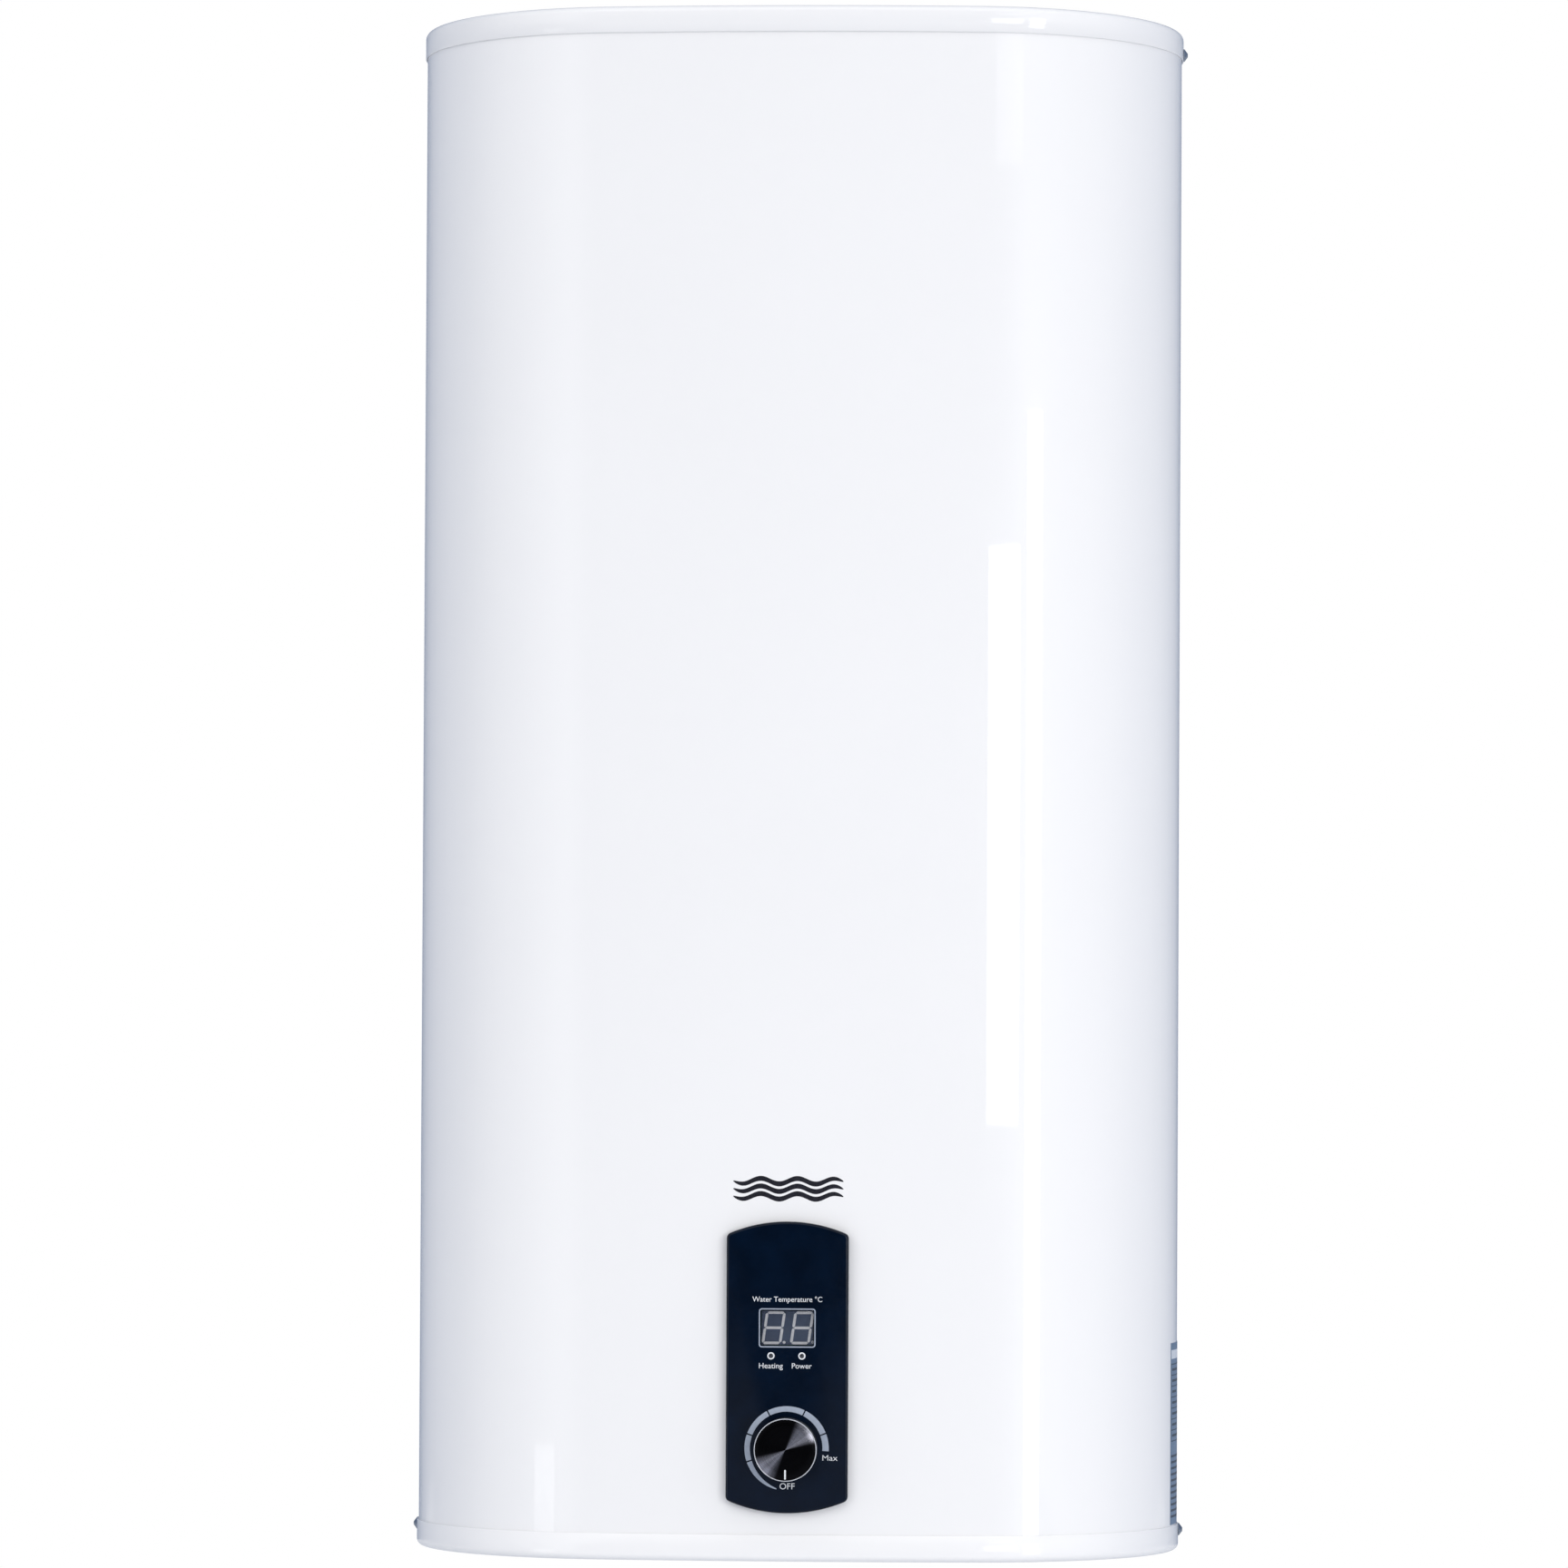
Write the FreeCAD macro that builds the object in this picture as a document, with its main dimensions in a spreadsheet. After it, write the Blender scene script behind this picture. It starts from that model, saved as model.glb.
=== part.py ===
import FreeCAD, Part

import math
import os

import Sketcher

# A flat, wall-hung electric storage water heater with two tanks side by side.
#
# Frame: X runs across the casing, +Z is up and the casing faces -Y. The wall is the plane y = 0 and
# the origin is the centre of the upper wall bracket on it. Inside this file heights are measured from
# the casing's bottom rim and depths from the wall towards the room; each piece's Placement then
# lowers it by hanger_height.

SIZES = (
    ("casing_width", 434, "casing, over the caps, side to side"),
    ("casing_height", 863, "casing, rim to rim"),
    ("casing_depth", 255, "casing, front crown to back crown"),
    ("end_radius", 123.5, "rounded sides of the casing in plan"),
    ("wall_gap", 10, "wall to the back of the caps"),
    ("hanger_height", 650, "bottom rim to the upper wall bracket's slots"),
    ("lower_height", 180, "bottom rim to the lower wall bracket's slots"),
    ("skirt", 14.8, "height of a cap's skirt"),
    ("rim_round", 3.5, "rounding of a cap's rim"),
    ("cap_wall", 0.8, "thin wall of a cap"),
    ("rim_wall", 3.2, "wall of a cap behind its rounded rim"),
    ("shell_inset", 1, "caps to shell, in plan"),
    ("shell_sheet", 0.6, "shell sheet"),
    ("dish_inset", 16, "width of the bottom cap's standing rim"),
    ("dish_depth", 8, "depth of the bottom cap's recess"),
    ("cover_half", 165, "half length of the service cover"),
    ("cover_near", 97, "wall to the service cover's rear edge"),
    ("cover_far", 207, "wall to the service cover's front edge"),
    ("cover_sheet", 1.8, "service cover sheet"),
    ("cover_lip", 6, "service cover beyond its opening, and its corner radius"),
    ("cover_screw_x", 145, "outer cover screws to the cover's middle"),
    ("cover_screw_inset", 3, "cover screws inside the cover's edge"),
    ("cover_screw_radius", 1.5, "radius of a cover screw"),
    ("vent_x", 80, "middle of a vent group to the cover's middle"),
    ("vent_near", 122, "wall to the rearmost vent"),
    ("vent_pitch", 10, "vent to vent"),
    ("vent_half_length", 22, "half length of a vent"),
    ("vent_half_width", 1.5, "half width of a vent"),
    ("pipe_hole", 11.6, "radius of the bottom cap's hole for a water pipe"),
    ("screw_inset", 3.7, "cap screws above or below the skirt's free edge"),
    ("cap_screw_radius", 1.75, "radius of a cap screw"),
    ("cap_screw_head", 4.3, "radius of a cap screw's head"),
    ("cap_screw_rise", 2.4, "height of a cap screw's head"),
    ("rear_screw_x", 60, "rear cap screws and bracket bolts to the middle"),
    ("rear_seat", 11.2, "wall to the seat of a rear cap screw"),
    ("rating_bottom", 15.4, "bottom rim to the rating plate"),
    ("rating_top", 118, "bottom rim to the rating plate's upper edge"),
    ("rating_sheet", 0.3, "rating plate sheet"),
    ("foam_bottom", 97, "bottom rim to the foam, above the electrics bay"),
    ("foam_headroom", 18, "foam to the top rim"),
    ("fill_height", 780, "bottom rim to the foam filling hole"),
    ("fill_radius", 9, "radius of the foam filling hole"),
    ("tank_radius", 98, "outer radius of a tank"),
    ("tank_spacing", 204, "distance between the tanks' axes"),
    ("tank_bottom", 100, "bottom rim to the tanks' lowest point"),
    ("tank_top", 833, "bottom rim to the tanks' highest point"),
    ("tank_sheet", 1.2, "tank sheet"),
    ("dome_rise", 26, "rise of a tank's dished end"),
    ("transfer_radius", 7, "outer radius of a pipe between the tanks"),
    ("transfer_low", 160, "bottom rim to the lower pipe between the tanks"),
    ("transfer_high", 780, "bottom rim to the upper pipe between the tanks"),
    ("neck_radius", 28.5, "outer radius of a tank's neck"),
    ("neck_wall", 1.5, "wall of a tank's neck"),
    ("flange_top", 92, "bottom rim to the top of a neck's flange"),
    ("flange_sheet", 4, "sheet of a neck's flange"),
    ("gasket_sheet", 1.5, "flange gasket, squeezed"),
    ("gasket_radius", 31.8, "outer radius of a flange gasket"),
    ("plate_sheet", 4.5, "plate that carries a heating element"),
    ("flange_radius", 40, "outer radius of a flange"),
    ("flange_bolt_circle", 35.5, "radius of the flange bolts' circle"),
    ("flange_bolt_radius", 2.9, "radius of a flange bolt"),
    ("element_radius", 4.25, "radius of a heating element's sheath"),
    ("leg_offset", 13, "a heating element's legs to the flange's middle"),
    ("element_top", 430, "bottom rim to the top of an element's straight legs"),
    ("rod_offset", 16, "anode and thermowell to the flange's middle"),
    ("anode_radius", 7, "radius of an anode rod"),
    ("anode_top", 290, "bottom rim to the top of an anode rod"),
    ("stud_radius", 2.5, "radius of an anode rod's stud"),
    ("well_radius", 4, "outer radius of a thermowell"),
    ("well_bore", 3.1, "radius of a thermowell's bore"),
    ("well_top", 330, "bottom rim to the top of a thermowell"),
    ("thread_radius", 10.478, "G 1/2 thread, outer radius"),
    ("pipe_radius", 9, "outer radius of a water pipe"),
    ("pipe_offset", 62, "water pipes behind the tanks' axes"),
    ("thread_reach", 11, "thread below the bottom rim"),
    ("bracket_half", 100, "half length of a wall bracket"),
    ("bracket_sheet", 2.5, "wall bracket sheet"),
    ("bracket_rise", 16, "wall slots to the bracket's upper edge"),
    ("web_drop", 12, "wall slots to the bracket's web"),
    ("flange_drop", 44, "wall slots to the lower edge of the bracket's flange"),
    ("bolt_drop", 28, "wall slots to the bracket bolts"),
    ("bolt_radius", 4, "radius of a bracket bolt"),
    ("bolt_head_front", 9.4, "wall to the front of a bracket bolt's head"),
    ("bolt_head_rise", 5.3, "height of a bracket bolt's head"),
    ("backing_half", 75, "half length of a backing plate"),
    ("backing_near", 18, "wall to the back of a backing plate"),
    ("backing_sheet", 4, "backing plate sheet"),
    ("slot_offset", 85, "wall slot to the bracket's middle"),
    ("slot_radius", 5.5, "end radius of a wall slot"),
    ("slot_length", 22, "overall length of a wall slot"),
    ("panel_half", 33.75, "half width of the control panel"),
    ("panel_bottom", 27, "bottom rim to the panel's lowest point"),
    ("panel_top", 188, "bottom rim to the panel's highest point"),
    ("panel_arch", 7.2, "rise of the panel's arched ends"),
    ("panel_back", 264.1, "wall to the back of the panel's face plate"),
    ("panel_face", 269.2, "wall to the panel's face"),
    ("panel_skin", 2.4, "wall of the panel's face in front of the electronics"),
    ("opening_half", 28, "half width of the shell's opening for the panel"),
    ("opening_bottom", 34, "bottom rim to that opening's lower edge"),
    ("opening_top", 181, "bottom rim to that opening's upper edge"),
    ("box_gap", 2, "the panel's box inside the shell's opening, all round"),
    ("box_back", 240, "wall to the back of the panel's box"),
    ("box_wall", 1.8, "wall of the panel's box"),
    ("window_height", 129.3, "bottom rim to the middle of the display"),
    ("window_half_width", 15.7, "half width of the display window"),
    ("window_half_height", 10.8, "half height of the display window"),
    ("pane_sheet", 1.2, "depth of the display window's seat"),
    ("light_height", 113.9, "bottom rim to the indicator lights"),
    ("light_radius", 1.2, "radius of an indicator light"),
    ("knob_height", 62.9, "bottom rim to the knob's axis"),
    ("knob_radius", 17.25, "outer radius of the knob"),
    ("knob_back", 270, "wall to the back of the knob"),
    ("knob_front", 286, "wall to the front of the knob"),
    ("shaft_radius", 3, "radius of the control shaft"),
    ("shaft_bore", 3.05, "radius of the bushing that the shaft turns in"),
    ("bushing_radius", 3.6, "outer radius of that bushing"),
    ("board_back", 250.4, "wall to the back of the control board"),
    ("board_sheet", 1.6, "circuit board"),
    ("board_half", 23.5, "half width of the control board"),
    ("board_bottom", 40, "bottom rim to the control board"),
    ("board_top", 175, "bottom rim to the control board's upper edge"),
    ("board_screw_radius", 1.1, "radius of a control board screw"),
    ("bay_plate", 36, "wall to the back of the relay board's bracket"),
    ("bay_sheet", 1.5, "sheet of the relay board's bracket"),
    ("bay_half", 50, "half width of the relay board's bracket"),
    ("relay_board_back", 43, "wall to the back of the relay board"),
    ("relay_board_half", 45, "half width of the relay board"),
    ("cutout_depth", 150, "wall to the safety cut-out's axis"),
    ("cutout_bottom", 40, "bottom rim to the safety cut-out's body"),
    ("cutout_top", 70, "bottom rim to the safety cut-out's upper face"),
    ("cutout_half", 15, "half depth of the safety cut-out's body"),
    ("button_low", 31, "bottom rim to the tip of the reset button"),
    ("button_radius", 3, "radius of the reset button"),
    ("button_bore", 3.1, "radius of the reset button's guide"),
    ("gland_bore", 4, "radius of the cable gland's bore"),
    ("gland_radius", 8, "outer radius of the cable gland's body"),
    ("gland_depth", 72, "wall to the cable gland's axis"),
    ("fit_gap", 0.1, "clearance around pieces that pass through others"),
)

TOP = "XY_Plane"  # normal up; a sketch's x is x and its y is y
FRONT = "XZ_Plane"  # normal towards the room; a sketch's x is x and its y is the height
SIDE = "YZ_Plane"  # normal towards +X; a sketch's x is y and its y is the height

doc = FreeCAD.newDocument("TankWaterHeater")
sheet = doc.addObject("Spreadsheet::Sheet", "Sizes")
for row, (alias, number, meaning) in enumerate(SIZES, start=1):
    sheet.set(f"A{row}", meaning)
    sheet.set(f"B{row}", str(number))
    sheet.setAlias(f"B{row}", alias)
doc.recompute()


class Length:
    """A length that knows its number and the sheet expression that it comes from."""

    def __init__(self, text, number):
        self.text = text
        self.number = number

    def __add__(self, other):
        other = length(other)
        return Length(f"({self.text} + {other.text})", self.number + other.number)

    def __sub__(self, other):
        other = length(other)
        return Length(f"({self.text} - {other.text})", self.number - other.number)

    def __rsub__(self, other):
        return length(other) - self

    def __mul__(self, other):
        other = length(other)
        return Length(f"({self.text} * {other.text})", self.number * other.number)

    def __truediv__(self, other):
        other = length(other)
        return Length(f"({self.text} / {other.text})", self.number / other.number)

    def __neg__(self):
        return Length(f"(0 - {self.text})", -self.number)

    def __float__(self):
        return self.number


def length(value):
    """Any plain number as a Length."""
    return value if isinstance(value, Length) else Length(f"{value:.10g}", float(value))


def size(alias):
    """A driving dimension of the sheet."""
    return Length(f"Sizes.{alias}", float(sheet.get(alias)))


def both(offset):
    """The same distance to the left and to the right of the middle."""
    return -length(offset), length(offset)


def bind(thing, field, value):
    """Ties one field of an object to a length."""
    thing.setExpression(field, length(value).text)


# ---------------------------------------------------------------------------------- sketch shapes


def fix_point(drawing, edge, end, x, y):
    """Holds one point of a sketch edge at x, y from the sketch's origin."""
    for kind, value in (("DistanceX", x), ("DistanceY", y)):
        number = drawing.addConstraint(Sketcher.Constraint(kind, -1, 1, edge, end, float(value)))
        bind(drawing, f"Constraints[{number}]", value)


def fix_radius(drawing, edge, radius):
    number = drawing.addConstraint(Sketcher.Constraint("Radius", edge, float(radius)))
    bind(drawing, f"Constraints[{number}]", radius)


def circle(x, y, radius):
    def draw(drawing):
        centre = FreeCAD.Vector(float(x), float(y), 0)
        edge = drawing.addGeometry(Part.Circle(centre, FreeCAD.Vector(0, 0, 1), float(radius)))
        fix_point(drawing, edge, 3, x, y)
        fix_radius(drawing, edge, radius)

    return draw


def arc_through(x0, y0, x1, y1, radius):
    """The shorter arc between two points: anticlockwise for a positive radius, else clockwise."""
    if radius < 0:
        return arc_through(x1, y1, x0, y0, -radius)
    half = math.hypot(x1 - x0, y1 - y0) / 2
    rise = math.sqrt(max(radius**2 - half**2, 0)) / (2 * half)
    centre = FreeCAD.Vector((x0 + x1) / 2 - (y1 - y0) * rise, (y0 + y1) / 2 + (x1 - x0) * rise, 0)
    start = math.atan2(y0 - centre.y, x0 - centre.x)
    end = math.atan2(y1 - centre.y, x1 - centre.x)
    return Part.ArcOfCircle(Part.Circle(centre, FreeCAD.Vector(0, 0, 1), radius), start, end)


def path(*corners, closed=True):
    """Lines through the corners; a corner's third number makes the edge that leaves it an arc."""

    def draw(drawing):
        ends = []
        following = corners[1:] + corners[:1] if closed else corners[1:]
        for corner, after in zip(corners, following):
            x0, y0, x1, y1 = (float(value) for value in (*corner[:2], *after[:2]))
            if len(corner) == 3:
                edge = drawing.addGeometry(arc_through(x0, y0, x1, y1, float(corner[2])))
                start = 1 if float(corner[2]) > 0 else 2
                bent = corner[2] if start == 1 else -corner[2]
                fix_radius(drawing, edge, bent)
            else:
                line = Part.LineSegment(FreeCAD.Vector(x0, y0, 0), FreeCAD.Vector(x1, y1, 0))
                edge = drawing.addGeometry(line)
                start = 1
            fix_point(drawing, edge, start, *corner[:2])
            ends.append((edge, start, 3 - start))
        pairs = zip(ends, ends[1:] + ends[:1]) if closed else zip(ends, ends[1:])
        for (edge, _, end), (after, start, _) in pairs:
            drawing.addConstraint(Sketcher.Constraint("Coincident", edge, end, after, start))
        if not closed:
            fix_point(drawing, ends[-1][0], ends[-1][2], *corners[-1][:2])

    return draw


def rectangle(left, right, bottom, top):
    return path((left, bottom), (right, bottom), (right, top), (left, top))


def hexagon(x, y, across_flats):
    corner = length(across_flats) / math.sqrt(3)
    angles = [math.radians(60 * step) for step in range(6)]
    return path(*((length(x) + corner * math.cos(a), length(y) + corner * math.sin(a)) for a in angles))


def slot(x, y, overall, radius):
    """A slot that runs across, with round ends."""
    reach = overall / 2 - radius
    left, right = length(x) - reach, length(x) + reach
    low, high = length(y) - radius, length(y) + radius

    def draw(drawing):
        centre_y = float(y)
        up = FreeCAD.Vector(0, 0, 1)
        right_end = Part.Circle(FreeCAD.Vector(float(right), centre_y, 0), up, float(radius))
        left_end = Part.Circle(FreeCAD.Vector(float(left), centre_y, 0), up, float(radius))
        edges = drawing.addGeometry(
            [
                Part.ArcOfCircle(right_end, -math.pi / 2, math.pi / 2),
                Part.LineSegment(
                    FreeCAD.Vector(float(right), float(high), 0), FreeCAD.Vector(float(left), float(high), 0)
                ),
                Part.ArcOfCircle(left_end, math.pi / 2, 3 * math.pi / 2),
                Part.LineSegment(
                    FreeCAD.Vector(float(left), float(low), 0), FreeCAD.Vector(float(right), float(low), 0)
                ),
            ],
            False,
        )
        for edge, after in zip(edges, (*edges[1:], edges[0])):
            drawing.addConstraint(Sketcher.Constraint("Tangent", edge, 2, after, 1))
        for edge, centre_x in ((edges[0], right), (edges[2], left)):
            fix_point(drawing, edge, 3, centre_x, y)
            fix_radius(drawing, edge, radius)

    return draw


def casing_outline(inset):
    """The casing's plan: two round sides joined by a shallow front and back crown, all tangent."""
    half_depth = size("casing_depth") / 2
    reach = size("casing_width") / 2 - size("end_radius")
    middle = -(size("wall_gap") + half_depth)
    spare = half_depth - size("end_radius")
    crown = (reach * reach + half_depth * half_depth - size("end_radius") * size("end_radius")) / (spare * 2)

    def draw(drawing):
        side_radius = float(size("end_radius") - inset)
        crown_radius = float(crown - inset)
        crown_shift = float(crown - half_depth)
        tilt = math.atan2(crown_shift, float(reach))
        up = FreeCAD.Vector(0, 0, 1)

        def arc(x, y, radius, start, end):
            centre = FreeCAD.Vector(x, float(middle) + y, 0)
            return drawing.addGeometry(Part.ArcOfCircle(Part.Circle(centre, up, radius), start, end))

        right = arc(float(reach), 0, side_radius, -tilt, tilt)
        back = arc(0, -crown_shift, crown_radius, tilt, math.pi - tilt)
        left = arc(-float(reach), 0, side_radius, math.pi - tilt, math.pi + tilt)
        front = arc(0, crown_shift, crown_radius, math.pi + tilt, 2 * math.pi - tilt)
        for edge, after in ((right, back), (back, left), (left, front), (front, right)):
            drawing.addConstraint(Sketcher.Constraint("Tangent", edge, 2, after, 1))
        for edge, centre_x in ((right, reach), (left, -reach)):
            fix_point(drawing, edge, 3, centre_x, middle)
            fix_radius(drawing, edge, size("end_radius") - inset)
        for edge in (front, back):
            fix_radius(drawing, edge, crown - inset)

    return draw


# --------------------------------------------------------------------------------------- features


def new_body(label):
    body = doc.addObject("PartDesign::Body", label)
    body.Label = label
    return body


def new_sketch(body, plane, offset, shapes, across=0):
    """A sketch parallel to an origin plane of the body, offset along that plane's normal."""
    drawing = body.newObject("Sketcher::SketchObject", f"{body.Label}_sketch")
    origin_plane = next(item for item in body.Origin.OriginFeatures if item.Role == plane)
    drawing.AttachmentSupport = (origin_plane, [""])
    drawing.MapMode = "FlatFace"
    bind(drawing, "AttachmentOffset.Base.x", across)
    bind(drawing, "AttachmentOffset.Base.z", offset)
    for draw in shapes:
        draw(drawing)
    return drawing


def extrude(body, kind, plane, start, end, shapes):
    feature_sketch = new_sketch(body, plane, start, shapes)
    feature = body.newObject(f"PartDesign::{kind}", f"{body.Label}_{kind.lower()}")
    feature.Profile = feature_sketch
    bind(feature, "Length", length(end) - start)
    return feature


def pad(body, plane, start, end, *shapes):
    """Adds the shapes as material from start to end along the plane's normal."""
    extrude(body, "Pad", plane, start, end, shapes)


def pocket(body, plane, start, end, *shapes):
    """Cuts the shapes away from start to end along the plane's normal."""
    extrude(body, "Pocket", plane, start, end, shapes).Reversed = True


def turn(body, kind, across, *shapes):
    """Turns a profile about the upright line at x = across in the tanks' middle plane."""
    profile = new_sketch(body, FRONT, MIDDLE, shapes, across)
    feature = body.newObject(f"PartDesign::{kind}", f"{body.Label}_{kind.lower()}")
    feature.Profile = profile
    feature.ReferenceAxis = (profile, ["V_Axis"])
    feature.Angle = 360


def dress(body, kind, amount, chosen):
    """Rounds or chamfers those edges of the body so far for which chosen(edge) is true."""
    doc.recompute()
    base = body.Tip
    names = [f"Edge{number}" for number, edge in enumerate(base.Shape.Edges, start=1) if chosen(edge)]
    feature = body.newObject(f"PartDesign::{kind}", f"{body.Label}_{kind.lower()}")
    feature.Base = (base, names)
    bind(feature, "Radius" if kind == "Fillet" else "Size", amount)


def flat_at(axis, value):
    """Chooses the edges that lie in one plane across an axis."""

    def chosen(edge):
        box = edge.BoundBox
        low, high = getattr(box, f"{axis}Min"), getattr(box, f"{axis}Max")
        return abs(low - float(value)) < 0.01 and abs(high - float(value)) < 0.01

    return chosen


def along(axis):
    """Chooses the straight edges that run along an axis."""
    direction = FreeCAD.Vector(*(float(axis == name) for name in "XYZ"))

    def chosen(edge):
        straight = edge.Curve.TypeId == "Part::GeomLine"
        return straight and abs(edge.Curve.Direction.dot(direction)) > 0.999

    return chosen


def coded_piece(label, shape):
    """A piece whose shape no sketch feature makes in one go."""
    piece = doc.addObject("Part::Feature", label)
    piece.Label = label
    piece.Shape = shape
    return piece


def bent_rod(points, bend, radius):
    """A round rod along straight runs that are joined by tangent arcs of one radius."""
    points = [FreeCAD.Vector(float(x), -float(depth), float(z)) for x, depth, z in points]
    edges = []
    start = points[0]
    for before, corner, after in zip(points, points[1:], points[2:]):
        incoming = (corner - before).normalize()
        outgoing = (after - corner).normalize()
        reach = bend * math.tan(incoming.getAngle(outgoing) / 2)
        arc_start = corner - incoming * reach
        arc_end = corner + outgoing * reach
        inward = (outgoing - incoming).normalize()
        centre_distance = math.hypot(bend, reach)
        middle = corner + inward * (centre_distance - bend)
        edges.append(Part.LineSegment(start, arc_start).toShape())
        edges.append(Part.Arc(arc_start, middle, arc_end).toShape())
        start = arc_end
    edges.append(Part.LineSegment(start, points[-1]).toShape())
    profile = Part.Wire(Part.makeCircle(radius, points[0], points[1] - points[0]))
    return Part.Wire(edges).makePipeShell([profile], True, True)


# ---------------------------------------------------------------------------- places used together

MIDDLE = size("wall_gap") + size("casing_depth") / 2
TANK_X = size("tank_spacing") / 2
SIDES = (("left", -1), ("right", 1))
CAP_EDGE = size("casing_height") - size("skirt")
PIPE_DEPTH = MIDDLE - size("pipe_offset")
DISH = size("dish_depth")
FLOOR = DISH + size("cap_wall")
FLANGE_FACE = size("flange_top") - size("flange_sheet")
GASKET_FACE = FLANGE_FACE - size("gasket_sheet")
PLATE_FACE = GASKET_FACE - size("plate_sheet")
SCREW_HOLE = size("cap_screw_radius") + size("fit_gap") / 2
BACK_WALL = (length(5), length(40))  # depths on either side of the casing's back
BEYOND_SIDE = size("casing_width") / 2 + 13
TRANSFER_HEIGHTS = (size("transfer_low"), size("transfer_high"))
BOX_HALF = size("opening_half") - size("box_gap")
BOX_BOTTOM = size("opening_bottom") + size("box_gap")
BOX_TOP = size("opening_top") - size("box_gap")
PANEL_SKIN = size("panel_face") - size("panel_skin")
BOARD_FRONT = size("board_back") + size("board_sheet")
SHAFT_END = size("knob_front") - 2.5
VENT_ROWS = 7
TERMINALS = (-20, -8, 8, 20)
TERMINAL_FACE = size("relay_board_back") + size("board_sheet") + 13.4


# ----------------------------------------------------------------------------------------- casing


def make_outer_shell():
    body = new_body("outer_shell")
    outside = size("shell_inset")
    clear_of_rim = FLOOR + size("fit_gap")
    pad(
        body,
        TOP,
        clear_of_rim,
        size("casing_height") - clear_of_rim,
        casing_outline(outside),
        casing_outline(outside + size("shell_sheet")),
    )
    opening_half = size("opening_half")
    opening = rectangle(-opening_half, opening_half, size("opening_bottom"), size("opening_top"))
    pocket(body, FRONT, MIDDLE, size("panel_face"), opening)
    bolt_holes = [circle(x, z, size("bolt_radius") + 0.4) for x, z in bracket_bolt_places()]
    pocket(body, FRONT, *BACK_WALL, circle(0, size("fill_height"), size("fill_radius")), *bolt_holes)
    low, high = screw_heights()
    pocket(body, SIDE, -BEYOND_SIDE, BEYOND_SIDE, circle(-MIDDLE, low, SCREW_HOLE))
    pocket(body, SIDE, 0, BEYOND_SIDE, circle(-MIDDLE, high, SCREW_HOLE))
    rear_holes = [circle(x, z, SCREW_HOLE) for x in both(size("rear_screw_x")) for z in (low, high)]
    pocket(body, FRONT, *BACK_WALL, *rear_holes)


def screw_heights():
    """The heights of the bottom cap's and the top cap's screws."""
    return size("skirt") - size("screw_inset"), CAP_EDGE + size("screw_inset")


def bracket_bolt_heights():
    return size("hanger_height") - size("bolt_drop"), size("lower_height") - size("bolt_drop")


def bracket_bolt_places():
    return [(x, z) for x in both(size("rear_screw_x")) for z in bracket_bolt_heights()]


def make_top_cap():
    body = new_body("top_cap")
    pad(body, TOP, CAP_EDGE, size("casing_height"), casing_outline(0))
    dress(body, "Fillet", size("rim_round"), flat_at("Z", size("casing_height")))
    shoulder = size("casing_height") - size("rim_round")
    pocket(body, TOP, CAP_EDGE, shoulder, casing_outline(size("cap_wall")))
    pocket(body, TOP, shoulder, size("casing_height") - size("rim_wall"), casing_outline(size("rim_wall")))
    high = screw_heights()[1]
    pocket(body, SIDE, 0, BEYOND_SIDE, circle(-MIDDLE, high, SCREW_HOLE))
    pocket(body, FRONT, *BACK_WALL, *(circle(x, high, SCREW_HOLE) for x in both(size("rear_screw_x"))))


def cover_screw_places():
    """The service cover's screws, three along each long side."""
    near = size("cover_near") + size("cover_screw_inset")
    far = size("cover_far") - size("cover_screw_inset")
    left, right = both(size("cover_screw_x"))
    return [(x, -depth) for x in (left, 0, right) for depth in (near, far)]


def make_bottom_cap():
    body = new_body("bottom_cap")
    pad(body, TOP, 0, size("skirt"), casing_outline(0))
    dress(body, "Fillet", size("rim_round"), flat_at("Z", 0))
    pocket(body, TOP, 0, DISH, casing_outline(size("dish_inset")))
    pocket(body, TOP, FLOOR, size("skirt"), casing_outline(size("cap_wall")))
    rim_wall = size("rim_wall")
    rim_inside = casing_outline(rim_wall), casing_outline(size("dish_inset") - size("cap_wall"))
    pocket(body, TOP, rim_wall, FLOOR, *rim_inside)
    lip = size("cover_lip")
    half = size("cover_half") - lip
    pocket(
        body,
        TOP,
        0,
        size("skirt"),
        rectangle(-half, half, lip - size("cover_far"), -(size("cover_near") + lip)),
        circle(-TANK_X, -PIPE_DEPTH, size("pipe_hole")),
        circle(TANK_X, -PIPE_DEPTH, size("pipe_hole")),
        circle(0, -size("gland_depth"), size("gland_radius") + size("fit_gap")),
        *cover_screw_holes(),
    )
    low = screw_heights()[0]
    pocket(body, SIDE, -BEYOND_SIDE, BEYOND_SIDE, circle(-MIDDLE, low, SCREW_HOLE))
    pocket(body, FRONT, *BACK_WALL, *(circle(x, low, SCREW_HOLE) for x in both(size("rear_screw_x"))))


def cover_screw_holes():
    return [circle(x, y, size("cover_screw_radius") + size("fit_gap")) for x, y in cover_screw_places()]


def make_service_cover():
    body = new_body("service_cover")
    half = size("cover_half")
    low = DISH - size("cover_sheet")
    pad(body, TOP, low, DISH, rectangle(-half, half, -size("cover_far"), -size("cover_near")))
    dress(body, "Fillet", size("cover_lip"), along("Z"))
    reach, thin = size("vent_half_length"), size("vent_half_width")
    rows = [-(size("vent_near") + size("vent_pitch") * row) for row in range(VENT_ROWS)]
    vents = [rectangle(x - reach, x + reach, y - thin, y + thin) for x in both(size("vent_x")) for y in rows]
    pocket(body, TOP, low, DISH, *vents, *cover_screw_holes())


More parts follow.
